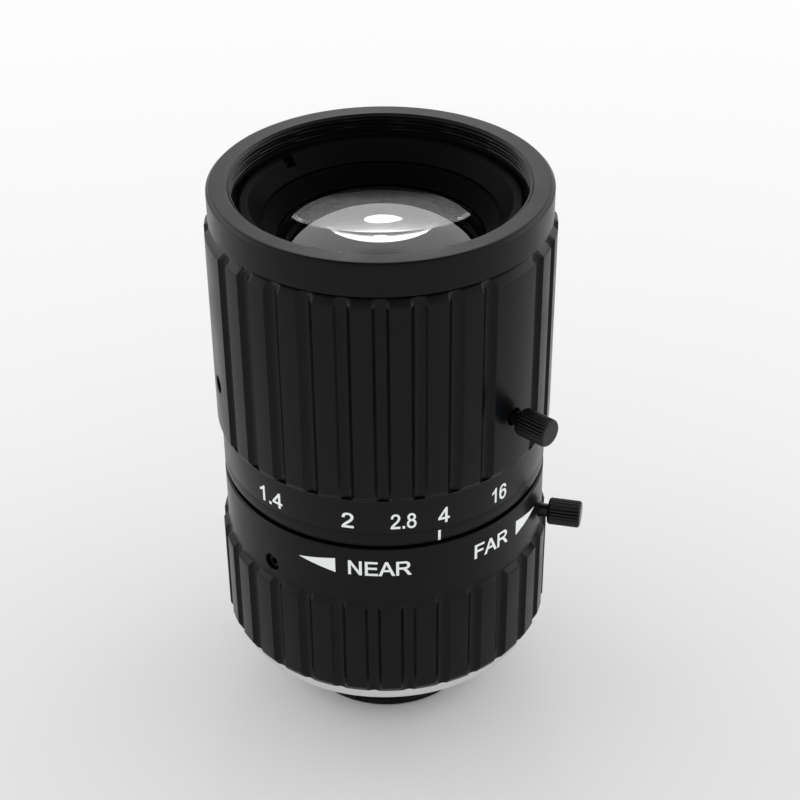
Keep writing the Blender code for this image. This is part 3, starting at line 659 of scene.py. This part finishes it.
def makeHood():
    h = hood
    outline = roundedOutline(
        (
            (h["spigotRadius"], h["spigotBase"], 0),
            (h["spigotRadius"], h["base"], 0),
            (h["radius"], h["base"], 0.2),
            (h["radius"], h["top"] - h["chamfer"], 0.06),
            (h["radius"] - h["chamfer"], h["top"], 0.06),
            (h["rim"], h["top"], 0.12),
            (h["threadRadius"], h["top"] - h["threadLead"], 0),
            (h["threadRadius"], h["ledge"], 0),
            (h["seatBore"], h["ledge"], 0.05),
            (h["seatBore"], h["seat"], 0),
            (h["spigotBore"], h["seat"], 0),
            (h["spigotBore"], h["spigotBase"], 0),
        )
    )
    # Fine steps on the thread only: elsewhere every fourth point is enough.
    outline = divided(outline, 0.06)
    onThread = np.abs(outline[:, 0] - h["threadRadius"]) < 0.02
    outline = outline[onThread | (np.arange(len(outline)) % 4 == 0)]

    def threadShape(radius, height, turn):
        # A filter thread: the bore's radius follows a triangle wave that climbs one pitch each turn.
        phase = (height - h["ledge"]) / h["threadPitch"] - turn / 360
        wave = np.abs((phase % 1) * 2 - 1)
        inBand = (np.abs(radius - h["threadRadius"]) < 0.02) & (height > h["ledge"] + h["threadRelief"])
        return np.where(inBand, radius + h["threadDepth"] * (wave - 0.5) * 2, radius), height

    piece = solidFromGrid("frontHood", revolve(outline, evenAzimuths(300), threadShape), anodised)
    place(piece, "front_barrel", "black_anodised_aluminium", "front_hood")


nameRing = {
    "bodyRadius": 17.0,
    "base": 74.86,
    "seat": 76.5,
    "radius": 18.85,
    "face": 18.2,
    "top": 77.3,
    "lip": 17.22,
    "foot": 15.44,
    "notches": (-133, 47),
    "notchWidth": 1.7,
    "notchReach": 17.9,
    "notchDepth": 1.2,
}


def makeNameRing():
    n = nameRing
    outline = roundedOutline(
        (
            (n["bodyRadius"], n["base"], 0),
            (n["bodyRadius"], n["seat"], 0),
            (n["radius"], n["seat"], 0),
            (n["radius"], n["top"] - 0.35, 0.06),
            (n["face"], n["top"], 0.08),
            (n["notchReach"] + 0.01, n["top"], 0),
            (n["notchReach"] - 0.01, n["top"], 0),
            (n["lip"], n["top"], 0.1),
            (n["foot"], n["base"], 0.08),
        )
    )
    outline = divided(outline, 0.3)
    halfTurn = n["notchWidth"] / 2 / n["lip"] / degree
    sides = [notch + side * halfTurn for notch in n["notches"] for side in (-1, 1)]
    edges = [side + step for side in sides for step in (-0.04, 0.04)]
    azimuths = np.sort(np.concatenate((evenAzimuths(ringSteps), np.array(edges) % 360)))

    def notchShape(radius, height, turn):
        # Inside a spanner notch the ring's top drops to the notch floor.
        floor = n["top"] - n["notchDepth"]
        inNotch = np.zeros(radius.shape, bool)
        for notch in n["notches"]:
            inNotch |= np.abs((turn - notch + 180) % 360 - 180) < halfTurn
        inNotch &= (radius < n["notchReach"]) & (height > floor)
        return radius, np.where(inNotch, floor, height)

    piece = solidFromGrid("nameRing", revolve(outline, azimuths, notchShape), innerAnodised)
    place(piece, "front_barrel", "black_anodised_aluminium", "front_retaining_ring")


baffle = {
    "glassRadius": 13.64,
    "glassTop": 72.3,
    "radius": 17.0,
    "base": 72.0,
    "top": 74.56,
    "lip": 15.24,
    "groovePitch": 0.25,
    "grooveDepth": 0.07,
}


def makeBaffle():
    b = baffle
    cone = np.array(((b["lip"], b["top"]), (b["glassRadius"], b["glassTop"])))
    length = np.linalg.norm(cone[1] - cone[0])
    grooves = int(length / b["groovePitch"])
    t = np.linspace(0, 1, grooves * 2 + 1)[1:-1, None]
    along = (cone[1] - cone[0]) / length
    inward = np.array((along[1], -along[0]))
    depth = b["grooveDepth"] * (np.arange(len(t)) % 2)[:, None]
    steps = cone[0] + (cone[1] - cone[0]) * t - inward * depth
    outer = np.array(((14.4, b["base"]), (b["radius"], b["base"]), (b["radius"], b["top"])))
    outline = np.concatenate((outer, cone[:1], steps, cone[1:]))
    piece = solidFromGrid("frontBaffle", revolve(outline, evenAzimuths(ringSteps)), baffleBlack, sharp=20)
    place(piece, "front_barrel", "matt_black_baffle", "front_baffle")


flangeRing = {"bore": 15.1, "radius": 21.94, "base": 10.5, "top": 12.15}


def makeFlangeRing():
    r = flangeRing
    outline = roundedOutline(
        (
            (r["bore"], r["base"], 0.1),
            (r["radius"], r["base"], 0.15),
            (r["radius"], r["top"], 0.12),
            (r["bore"], r["top"], 0),
        )
    )
    ring = solidFromGrid("rearFlangeRing", revolve(outline, evenAzimuths(ringSteps)), aluminium)
    place(ring, "mount_barrel", "bare_aluminium", "rear_flange_ring")


mount = {
    "bore": 11.2,
    "threadRadius": 12.7,
    "threadPitch": 25.4 / 32,
    "threadDepth": 0.45,
    "threadChamfer": 0.45,
    "threadRelief": 0.35,
    "threadSteps": 56,
    "threadTop": 4.0,
    "neck": 14.8,
    "flange": 18.4,
    "flangeBase": 12.45,
    "top": 14.0,
}


def makeMount():
    m = mount
    heights = np.linspace(m["threadChamfer"], m["threadTop"] - m["threadRelief"], m["threadSteps"])
    thread = np.stack((np.full(m["threadSteps"], m["threadRadius"]), heights), axis=-1)
    lower = np.array(((m["bore"], 0.0), (m["threadRadius"] - m["threadChamfer"], 0.0)))
    upper = roundedOutline(
        (
            (m["threadRadius"] - m["threadDepth"], m["threadTop"], 0),
            (m["neck"], m["threadTop"], 0.15),
            (m["neck"], m["flangeBase"], 0),
            (m["flange"], m["flangeBase"], 0.05),
            (m["flange"], m["top"], 0),
            (m["bore"], m["top"], 0),
        )
    )

    def threadShape(radius, height, turn):
        # The mount thread: the radius follows a triangle wave that climbs one pitch each turn.
        phase = height / m["threadPitch"] - turn / 360
        wave = np.abs((phase % 1) * 2 - 1)
        inBand = (np.abs(radius - m["threadRadius"]) < 0.01) & (height < m["threadTop"] - 0.3)
        return np.where(inBand, radius - m["threadDepth"] * wave, radius), height

    outline = np.concatenate((lower, thread, upper))
    piece = solidFromGrid("cMount", revolve(outline, evenAzimuths(ringSteps), threadShape), anodised)
    place(piece, "mount_barrel", "black_anodised_aluminium", "c_mount")


makeIndexRing()
makeHood()
makeNameRing()
makeBaffle()
makeFlangeRing()
makeMount()
print("rings made")


# Thumbscrews

thumb = {
    "radius": 1.9,
    "length": 4.6,
    "chamfer": 0.25,
    "rounding": 0.1,
    "tipChamfer": 0.2,
    "knurls": 24,
    "knurlDepth": 0.16,
    "neckRadius": 0.95,
    "screws": {
        # azimuth, height, reach of the tip, reach of the head, body, node
        "focusLockScrew": (77.0, 30.4, 21.8, 23.7, "focus_thumbscrew", "focus_lock_screw"),
        "apertureLockScrew": (48.0, 53.3, 22.0, 24.25, "aperture_thumbscrew", "aperture_lock_screw"),
    },
}


def makeThumbscrew(name, azimuth, height, tip, head, body, node):
    s = thumb
    end = head + s["length"]
    neck = s["neckRadius"]
    shank = np.array(((0, tip), (neck - s["tipChamfer"], tip), (neck, tip + s["tipChamfer"]), (neck, head)))
    knob = roundedOutline(
        (
            (0, head, 0),
            (s["radius"] - s["chamfer"], head, s["rounding"]),
            (s["radius"], head + s["chamfer"], s["rounding"]),
            (s["radius"], end - s["chamfer"], s["rounding"]),
            (s["radius"] - s["chamfer"], end, s["rounding"]),
            (0, end, 0),
        )
    )
    outline = np.concatenate((shank, knob[1:]))
    outline = divided(outline, 0.4, closed=False)

    def knurlShape(radius, reach, turn):
        # Straight knurling: the radius dips as a rounded wave between the teeth.
        # It fades out on the chamfers.
        wave = np.abs(np.sin(turn * degree * s["knurls"] / 2))
        deep = np.clip((radius - s["radius"] + s["chamfer"]) / s["chamfer"], 0, 1)
        return radius - s["knurlDepth"] * (1 - wave**0.7) * deep, reach

    points = radialRevolve(outline, evenAzimuths(s["knurls"] * 10), azimuth, height, knurlShape)
    piece = solidFromGrid(name, points, screwBlack, closedRows=False, sharp=40)
    place(piece, body, "black_anodised_aluminium", node)


for screwName, screw in thumb["screws"].items():
    makeThumbscrew(screwName, *screw)
print("thumbscrews made")


# Glass

lenses = {
    # radius, edge base and top, vertex of front and back,
    # clear radius of front and back, height of the back face's edge, node
    "frontLens": (15.0, 67.1, 71.33, 75.0, 70.8, 15.0, 12.4, 70.78, "front_lens"),
    "secondLens": (12.6, 60.87, 64.6, 67.6, 64.0, 12.6, 9.5, 60.87, "second_lens"),
    "thirdLens": (10.6, 56.6, 58.15, 61.6, 57.4, 10.6, 10.6, 56.6, "third_lens"),
    "fourthLens": (11.6, 40.83, 44.16, 42.0, 38.5, 9.5, 11.6, 40.83, "fourth_lens"),
    "fifthLens": (11.6, 34.23, 35.57, 37.9, 31.5, 11.6, 11.6, 34.23, "fifth_lens"),
    "rearLens": (9.3, 7.6, 9.43, 10.3, 6.3, 9.3, 9.3, 7.6, "rear_lens"),
}


def sphereFace(clearRadius, edge, vertex, steps=28):
    # Heights of a spherical face: vertex -+ (R - sqrt(R^2 - r^2)), with R from the sag at the clear radius.
    sag = vertex - edge
    sphere = (clearRadius**2 + sag**2) / (2 * abs(sag))
    radius = clearRadius * np.linspace(0, 1, steps + 1)
    drop = sphere - np.sqrt(sphere**2 - radius**2)
    return np.stack((radius, vertex - math.copysign(1, sag) * drop), axis=-1)


def makeLens(name, radius, edgeBase, edgeTop, front, back, frontClear, backClear, backEdge, node):
    lower = sphereFace(backClear, backEdge, back)
    if backEdge > edgeBase:
        lower = np.concatenate((lower, ((backClear, edgeBase),)))
    upper = sphereFace(frontClear, edgeTop, front)[::-1]
    rim = np.array(((radius, edgeBase), (radius, edgeTop)))
    outline = np.concatenate((lower, rim[rim[:, 0] > 0], upper))
    outline = outline[np.append(True, np.linalg.norm(np.diff(outline, axis=0), axis=1) > 1e-6)]
    piece = solidFromGrid(name, revolve(outline, evenAzimuths(180)), glass, closedRows=False)
    piece.data.materials.append(edgeInk)
    # The ground rim is inked black, as on real elements, so it throws no stray light.
    normals = np.empty(len(piece.data.polygons) * 3)
    piece.data.polygons.foreach_get("normal", normals)
    centres = np.empty(len(piece.data.polygons) * 3)
    piece.data.polygons.foreach_get("center", centres)
    centres = centres.reshape(-1, 3) / mm
    rise = np.abs(normals.reshape(-1, 3)[:, 2])
    reach = np.hypot(centres[:, 0], centres[:, 1])
    upright = rise < 0.1
    rimFaces = upright & (reach > max(frontClear, backClear) - 0.02)
    step = (rise > 0.9999) & (reach > min(frontClear, backClear) + 0.02)
    pocket = upright & (np.abs(reach - backClear) < 0.1)
    inked = rimFaces | step | pocket
    piece.data.polygons.foreach_set("material_index", inked.astype(np.int32))
    place(piece, "front_barrel", "coated_glass", node)


for lensName, lensShape in lenses.items():
    makeLens(lensName, *lensShape)
print("glass made")


# Marks

scaleMarks = {
    "radius": 22.42,
    "height": 2.45,
    "words": (
        # text, azimuth, height of its middle, width in degrees
        ("1.4", -41.8, 41.75, 10.5),
        ("2", -12.07, 41.75, 4.2),
        ("2.8", 6.68, 41.75, 8.7),
        ("4", 20.6, 41.75, 4.1),
        ("16", 43.2, 41.75, 6.8),
    ),
}
focusMarks = {
    "radius": 22.45,
    "height": 2.35,
    "words": (("NEAR", -1.45, 33.95, 21.7), ("FAR", 40.4, 33.8, 15.6)),
    "arrows": ((-30.5, -16.8, 33.95), (67.2, 52.9, 33.7)),
    "arrowHeight": 2.35,
}
indexLine = {"azimuth": 19.03, "width": 0.36, "top": 39.45, "bottom": 37.4}
stemGrowth = 0.16  # strokes grow by this much on each side, in units of glyphSize
inkHeight = 0.02  # how far the filled paint stands from the metal, in millimetres


def bendMesh(mesh, radius, azimuth, middle):
    # A flat mark (x, y, z) wraps round the lens: azimuth grows by x / radius, z is added to the radius.
    points = np.empty(len(mesh.vertices) * 3)
    mesh.vertices.foreach_get("co", points)
    points = points.reshape(-1, 3)
    angle = azimuth * degree + points[:, 0] / radius
    reach = radius + points[:, 2]
    bent = np.stack((reach * np.sin(angle), -reach * np.cos(angle), middle + points[:, 1]), axis=-1) * mm
    mesh.vertices.foreach_set("co", bent.reshape(-1))
    mesh.update()


def sliceMesh(mesh, step=0.3):
    # Cuts the flat mark into narrow upright strips, so that it can bend.
    work = bmesh.new()
    work.from_mesh(mesh)
    xs = [vert.co.x for vert in work.verts]
    for x in np.arange(min(xs) + step, max(xs), step):
        everything = work.verts[:] + work.edges[:] + work.faces[:]
        bmesh.ops.bisect_plane(work, geom=everything, plane_co=(x, 0, 0), plane_no=(1, 0, 0))
    work.to_mesh(mesh)
    work.free()


# Outlines of a plain sans letter on a grid of 2048: its advance, then closed paths.
# Each path holds points; a point with four numbers is a quadratic curve's handle and end.
glyphGrid = 2048
glyphSize = 10  # units of the curve that one grid takes
glyphs = {
    "1": (1139, ((763, 0), (583, 0), (583, 1147), (518, 1085, 412, 1023), (307, 961, 223, 930), (223, 1104),
                 (374, 1175, 487, 1276), (600, 1377, 647, 1472), (763, 1472))),
    "2": (1139, ((1031, 173), (1031, 0), (62, 0), (60, 65, 83, 125), (120, 224, 201, 320),
                 (283, 416, 437, 542), (676, 738, 760, 852), (844, 967, 844, 1069),
                 (844, 1176, 767, 1249), (691, 1323, 568, 1323),
                 (438, 1323, 360, 1245), (282, 1167, 281, 1029), (96, 1048), (115, 1255, 239, 1363),
                 (363, 1472, 572, 1472), (783, 1472, 906, 1355), (1029, 1238, 1029, 1065),
                 (1029, 977, 993, 892), (957, 807, 873, 713), (790, 619, 596, 455),
                 (434, 319, 388, 270), (342, 222, 312, 173))),
    "4": (1139, ((662, 0), (662, 351), (26, 351), (26, 516), (695, 1466), (842, 1466), (842, 516),
                 (1040, 516), (1040, 351), (842, 351), (842, 0)), ((662, 516), (662, 1177), (203, 516))),
    "6": (1139, ((1018, 1108), (839, 1094), (815, 1200, 771, 1248), (698, 1325, 591, 1325),
                 (505, 1325, 440, 1277), (355, 1215, 306, 1096), (257, 977, 255, 757),
                 (320, 856, 414, 904), (508, 952, 611, 952),
                 (791, 952, 917, 819), (1044, 687, 1044, 477), (1044, 339, 984, 220), (925, 102, 821, 39),
                 (717, -24, 585, -24), (360, -24, 218, 141), (76, 307, 76, 687), (76, 1112, 233, 1305),
                 (370, 1473, 602, 1473), (775, 1473, 885, 1376), (996, 1279, 1018, 1108)),
          ((283, 476), (283, 383, 322, 298), (362, 213, 433, 168), (504, 124, 582, 124), (696, 124, 778, 216),
           (860, 308, 860, 466), (860, 618, 779, 705), (698, 793, 575, 793), (453, 793, 368, 705),
           (283, 618, 283, 476))),
    "8": (1139, ((362, 795), (250, 836, 196, 912), (142, 988, 142, 1094), (142, 1254, 257, 1363),
                 (372, 1472, 563, 1472), (755, 1472, 872, 1360), (989, 1249, 989, 1089), (989, 987, 935, 911),
                 (882, 836, 773, 795), (908, 751, 978, 653), (1049, 555, 1049, 419), (1049, 231, 916, 103),
                 (783, -25, 566, -25), (349, -25, 216, 103), (83, 232, 83, 424), (83, 567, 155, 663),
                 (228, 760, 362, 795)),
          ((326, 1100), (326, 996, 393, 930), (460, 864, 567, 864), (671, 864, 737, 929),
           (804, 995, 804, 1090), (804, 1189, 735, 1256), (667, 1324, 565, 1324),
           (462, 1324, 394, 1258), (326, 1192, 326, 1100)),
          ((268, 423), (268, 346, 304, 274), (341, 202, 413, 162), (485, 123, 568, 123), (697, 123, 781, 206),
           (865, 289, 865, 417), (865, 547, 778, 632), (692, 717, 562, 717), (435, 717, 351, 633),
           (268, 549, 268, 423))),
    ".": (569, ((186, 0), (391, 0), (391, 205), (186, 205))),
    "N": (1479, ((156, 0), (156, 1466), (355, 1466), (1125, 315), (1125, 1466), (1311, 1466),
                 (1311, 0), (1112, 0), (342, 1152), (342, 0))),
    "E": (1366, ((162, 0), (162, 1466), (1222, 1466), (1222, 1293), (356, 1293), (356, 844),
                 (1167, 844), (1167, 672), (356, 672), (356, 173), (1256, 173), (1256, 0))),
    "A": (1366, ((-3, 0), (560, 1466), (769, 1466), (1369, 0), (1148, 0), (977, 444), (364, 444), (203, 0)),
          ((420, 602), (917, 602), (764, 1008), (694, 1193, 659, 1312), (628, 1160, 575, 1014))),
    "R": (1479, ((161, 0), (161, 1466), (811, 1466), (1007, 1466, 1109, 1426), (1211, 1387, 1272, 1287),
                 (1333, 1187, 1333, 1066), (1333, 910, 1232, 803), (1131, 696, 920, 667),
                 (997, 630, 1037, 594), (1122, 516, 1198, 399), (1453, 0), (1209, 0), (1015, 305),
                 (930, 437, 875, 507),
                 (820, 577, 776, 605), (733, 633, 688, 644), (655, 651, 580, 651), (355, 651), (355, 0)),
          ((355, 819), (772, 819), (905, 819, 980, 846), (1055, 874, 1094, 934), (1133, 995, 1133, 1066),
           (1133, 1170, 1057, 1237), (982, 1304, 819, 1304), (355, 1304))),
    "F": (1251, ((168, 0), (168, 1466), (1157, 1466), (1157, 1293), (362, 1293), (362, 839),
                 (1050, 839), (1050, 666), (362, 666), (362, 0))),
}


def glyphPath(path):
    # Curves become chords: (1-t)^2 a + 2t(1-t) handle + t^2 end.
    points = [path[0]]
    for step in path[1:]:
        if len(step) == 2:
            points.append(step)
            continue
        start, handle, end = np.array(points[-1]), np.array(step[:2]), np.array(step[2:])
        for t in np.linspace(0, 1, 6)[1:]:
            points.append(tuple((1 - t) ** 2 * start + 2 * t * (1 - t) * handle + t**2 * end))
    if np.allclose(points[0], points[-1]):
        points.pop()
    return np.array(points, float)


def makeWord(text, radius, azimuth, middle, height, widthDegrees, body):
    # The outlines fill as a flat curve and become a mesh, which is stretched to the mark's size and bent.
    curve = bpy.data.curves.new("word", "CURVE")
    curve.dimensions = "2D"
    curve.fill_mode = "BOTH"
    curve.extrude = 0.5
    curve.offset = stemGrowth
    start = 0
    for letter in text:
        advance, *paths = glyphs[letter]
        for path in paths:
            points = glyphPath(path) / glyphGrid * glyphSize + (start, 0)
            spline = curve.splines.new("POLY")
            spline.points.add(len(points) - 1)
            for point, (x, y) in zip(spline.points, points):
                point.co = (x, y, 0, 1)
            spline.use_cyclic_u = True
        start += advance / glyphGrid * glyphSize
    holder = bpy.data.objects.new("word", curve)
    bpy.context.scene.collection.objects.link(holder)
    graph = bpy.context.evaluated_depsgraph_get()
    graph.update()
    mesh = bpy.data.meshes.new_from_object(holder.evaluated_get(graph))
    bpy.data.objects.remove(holder, do_unlink=True)
    points = np.empty(len(mesh.vertices) * 3)
    mesh.vertices.foreach_get("co", points)
    points = points.reshape(-1, 3)
    low = points.min(axis=0)
    high = points.max(axis=0)
    tall = high[1] - low[1]
    wide = widthDegrees * degree * radius / (high[0] - low[0])
    points = (points - (low + high) / 2) * (wide, height / tall, 2 * inkHeight)
    mesh.vertices.foreach_set("co", points.reshape(-1))
    sliceMesh(mesh)
    bendMesh(mesh, radius, azimuth, middle)
    name = "mark_" + text.replace(".", "_")
    piece = finishedPiece(name, mesh, whitePaint, 30)
    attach(piece, body)


def flatSolid(outline):
    # A flat outline with the paint's thickness on both sides of the surface.
    count = len(outline)
    low = [(x, y, -inkHeight) for x, y in outline]
    high = [(x, y, inkHeight) for x, y in outline]
    sides = [(i, (i + 1) % count, count + (i + 1) % count, count + i) for i in range(count)]
    mesh = bpy.data.meshes.new("flat")
    mesh.from_pydata(low + high, [], [tuple(range(count))[::-1], tuple(range(count, 2 * count)), *sides])
    return mesh


def makeArrow(number, tip, base, middle):
    m = focusMarks
    half = (tip - base) / 2 * degree * m["radius"]
    tall = m["arrowHeight"] / 2
    mesh = flatSolid(((half, 0), (-half, tall), (-half, -tall)))
    sliceMesh(mesh)
    bendMesh(mesh, m["radius"], (tip + base) / 2, middle)
    piece = finishedPiece(f"mark_arrow_{number}", mesh, whitePaint, 30)
    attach(piece, "focus_ring")


def makeIndexLine():
    # The line runs down the ring's face, over its step and down the neck.
    # It always stands the paint's height above the metal.
    r = indexRing
    line = indexLine
    path = np.array(
        (
            (r["radius"], line["top"]),
            (r["radius"], r["step"] + 0.1),
            (r["radius"] - 0.06, r["step"] + 0.02),
            (r["neck"] + 0.03, r["step"] - 0.02),
            (r["neck"], r["step"] - 0.08),
            (r["neck"], line["bottom"]),
        )
    )
    half = line["width"] / 2
    across = np.linspace(-half, half, 7)
    points = []
    for radius, height in path:
        outer = [(radius + inkHeight, x, height) for x in across]
        inner = [(radius - inkHeight, x, height) for x in across[::-1]]
        points.append(outer + inner)
    points = np.array(points)
    # Its middle keeps one x, so it looks straight from the front: sin a = x / r.
    middleX = r["radius"] * math.sin(line["azimuth"] * degree)
    angle = np.arcsin(middleX / points[..., 0]) + points[..., 1] / points[..., 0]
    reach = points[..., 0]
    grid = np.stack((reach * np.sin(angle), -reach * np.cos(angle), points[..., 2]), axis=-1) * mm
    # Each end closes on its middle.
    ends = np.repeat(grid.mean(axis=1, keepdims=True), grid.shape[1], axis=1)
    grid = np.concatenate((ends[:1], grid, ends[-1:]))
    piece = solidFromGrid("mark_index_line", grid, whitePaint, closedRows=False, sharp=30)
    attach(piece, "front_barrel")


for marks, body in ((scaleMarks, "aperture_ring"), (focusMarks, "focus_ring")):
    for word, azimuth, middle, width in marks["words"]:
        makeWord(word, marks["radius"], azimuth, middle, marks["height"], width, body)
for number, (tip, base, middle) in enumerate(focusMarks["arrows"]):
    makeArrow(number + 1, tip, base, middle)
makeIndexLine()
print("marks made")


# Materials of the model's own nodes that stay in view or inside

slotMaterials = {
    "black_anodised_aluminium": innerAnodised,
    "bare_aluminium": aluminium,
    "matt_black_baffle": baffleBlack,
    "blackened_steel": blackSteel,
    "white_nylon": nylon,
    "coated_glass": glass,
}
for part in frame["record"]["subparts"]:
    node = frame["nodes"][part["node"]]
    node.data.materials.clear()
    node.data.materials.append(slotMaterials[part["material_slot"]])
print("node materials set")


# Floor, lamps and camera

studio = {
    "floorSize": 3.0,
    "floorColour": "e8e8e8",
    "worldColour": "ffffff",
    "ceilingColour": "595959",
    "worldStrength": 1.0,
    "ceiling": (0.8, 0.92),  # the sine of the height angle over which white turns into the dimmer ceiling
    "lamps": {
        # place, aim, size, power in watts
        "back": ((0.0, 0.6, 0.5), (0, 0.15, 0.0), (2.0, 0.9), 2.8),
        "window": ((0.0, 0.59, 0.455), (0, 0, 0.077), (0.13, 0.085), 0.16),
        "left": ((-0.75, 0.15, 0.43), (0, 0, 0.077), (1.2, 0.2), 1.9),
        "right": ((0.75, 0.15, 0.43), (0, 0, 0.077), (1.2, 0.2), 1.9),
    },
}


def makeFloor():
    half = studio["floorSize"] / 2
    mesh = bpy.data.meshes.new("floor")
    corners = [(-half, -half, 0), (half, -half, 0), (half, half, 0), (-half, half, 0)]
    mesh.from_pydata(corners, [], [(0, 1, 2, 3)])
    floor = bpy.data.objects.new("floor", mesh)
    bpy.context.scene.collection.objects.link(floor)
    # Matt white paper: no gloss, so only the soft shadow shows on it.
    material, tree, output = newMaterial("whitePaper")
    paper = addNode(tree, "ShaderNodeBsdfDiffuse", {"Color": linearColour(studio["floorColour"])})
    tree.links.new(paper.outputs[0], output.inputs[0])
    mesh.materials.append(material)


def makeWorld():
    # White all round, dimmer straight above, as in a light tent whose roof is closed.
    world = bpy.data.worlds.new("studio")
    bpy.context.scene.world = world
    world.use_nodes = True
    tree = world.node_tree
    background = tree.nodes["Background"]
    background.inputs[1].default_value = studio["worldStrength"]
    direction = tree.nodes.new("ShaderNodeTexCoord").outputs["Generated"]
    way = addNode(tree, "ShaderNodeSeparateXYZ", links={0: direction})
    low, high = studio["ceiling"]
    above = addNode(
        tree,
        "ShaderNodeMapRange",
        {"interpolation_type": "SMOOTHSTEP", "From Min": low, "From Max": high},
        {"Value": way.outputs["Z"]},
    )
    colour = addNode(
        tree,
        "ShaderNodeMix",
        {
            "data_type": "RGBA",
            6: linearColour(studio["worldColour"]),
            7: linearColour(studio["ceilingColour"]),
        },
        {0: above.outputs[0]},
    )
    tree.links.new(colour.outputs[2], background.inputs[0])


def makeLamps():
    for name, (spot, aim, size, power) in studio["lamps"].items():
        data = bpy.data.lights.new(name, "AREA")
        data.shape = "ELLIPSE" if name == "window" else "RECTANGLE"
        data.size, data.size_y = size
        data.energy = power
        lamp = bpy.data.objects.new(name, data)
        lamp.location = spot
        lamp.rotation_euler = (Vector(aim) - Vector(spot)).to_track_quat("-Z", "Y").to_euler()
        bpy.context.scene.collection.objects.link(lamp)


camera = {"place": (2.27, -207.261, 184.807), "pitch": 33.853, "roll": -0.463, "lens": 80.91}


def makeCamera():
    data = bpy.data.cameras.new("camera")
    data.lens = camera["lens"]
    data.sensor_width = 36
    data.clip_start = 0.01
    holder = bpy.data.objects.new("camera", data)
    pitch = camera["pitch"] * degree
    roll = camera["roll"] * degree
    ahead = Vector((0, math.cos(pitch), -math.sin(pitch)))
    up = Vector((0, math.sin(pitch), math.cos(pitch)))
    side = Vector((1, 0, 0))
    right = side * math.cos(roll) + up * math.sin(roll)
    top = up * math.cos(roll) - side * math.sin(roll)
    turn = Matrix((right, top, -ahead)).transposed().to_4x4()
    holder.matrix_world = Matrix.Translation(Vector(camera["place"]) * mm) @ turn
    bpy.context.scene.collection.objects.link(holder)
    bpy.context.scene.camera = holder


makeFloor()
makeWorld()
makeLamps()
makeCamera()
bpy.context.scene.view_settings.view_transform = "Standard"
print("studio made")
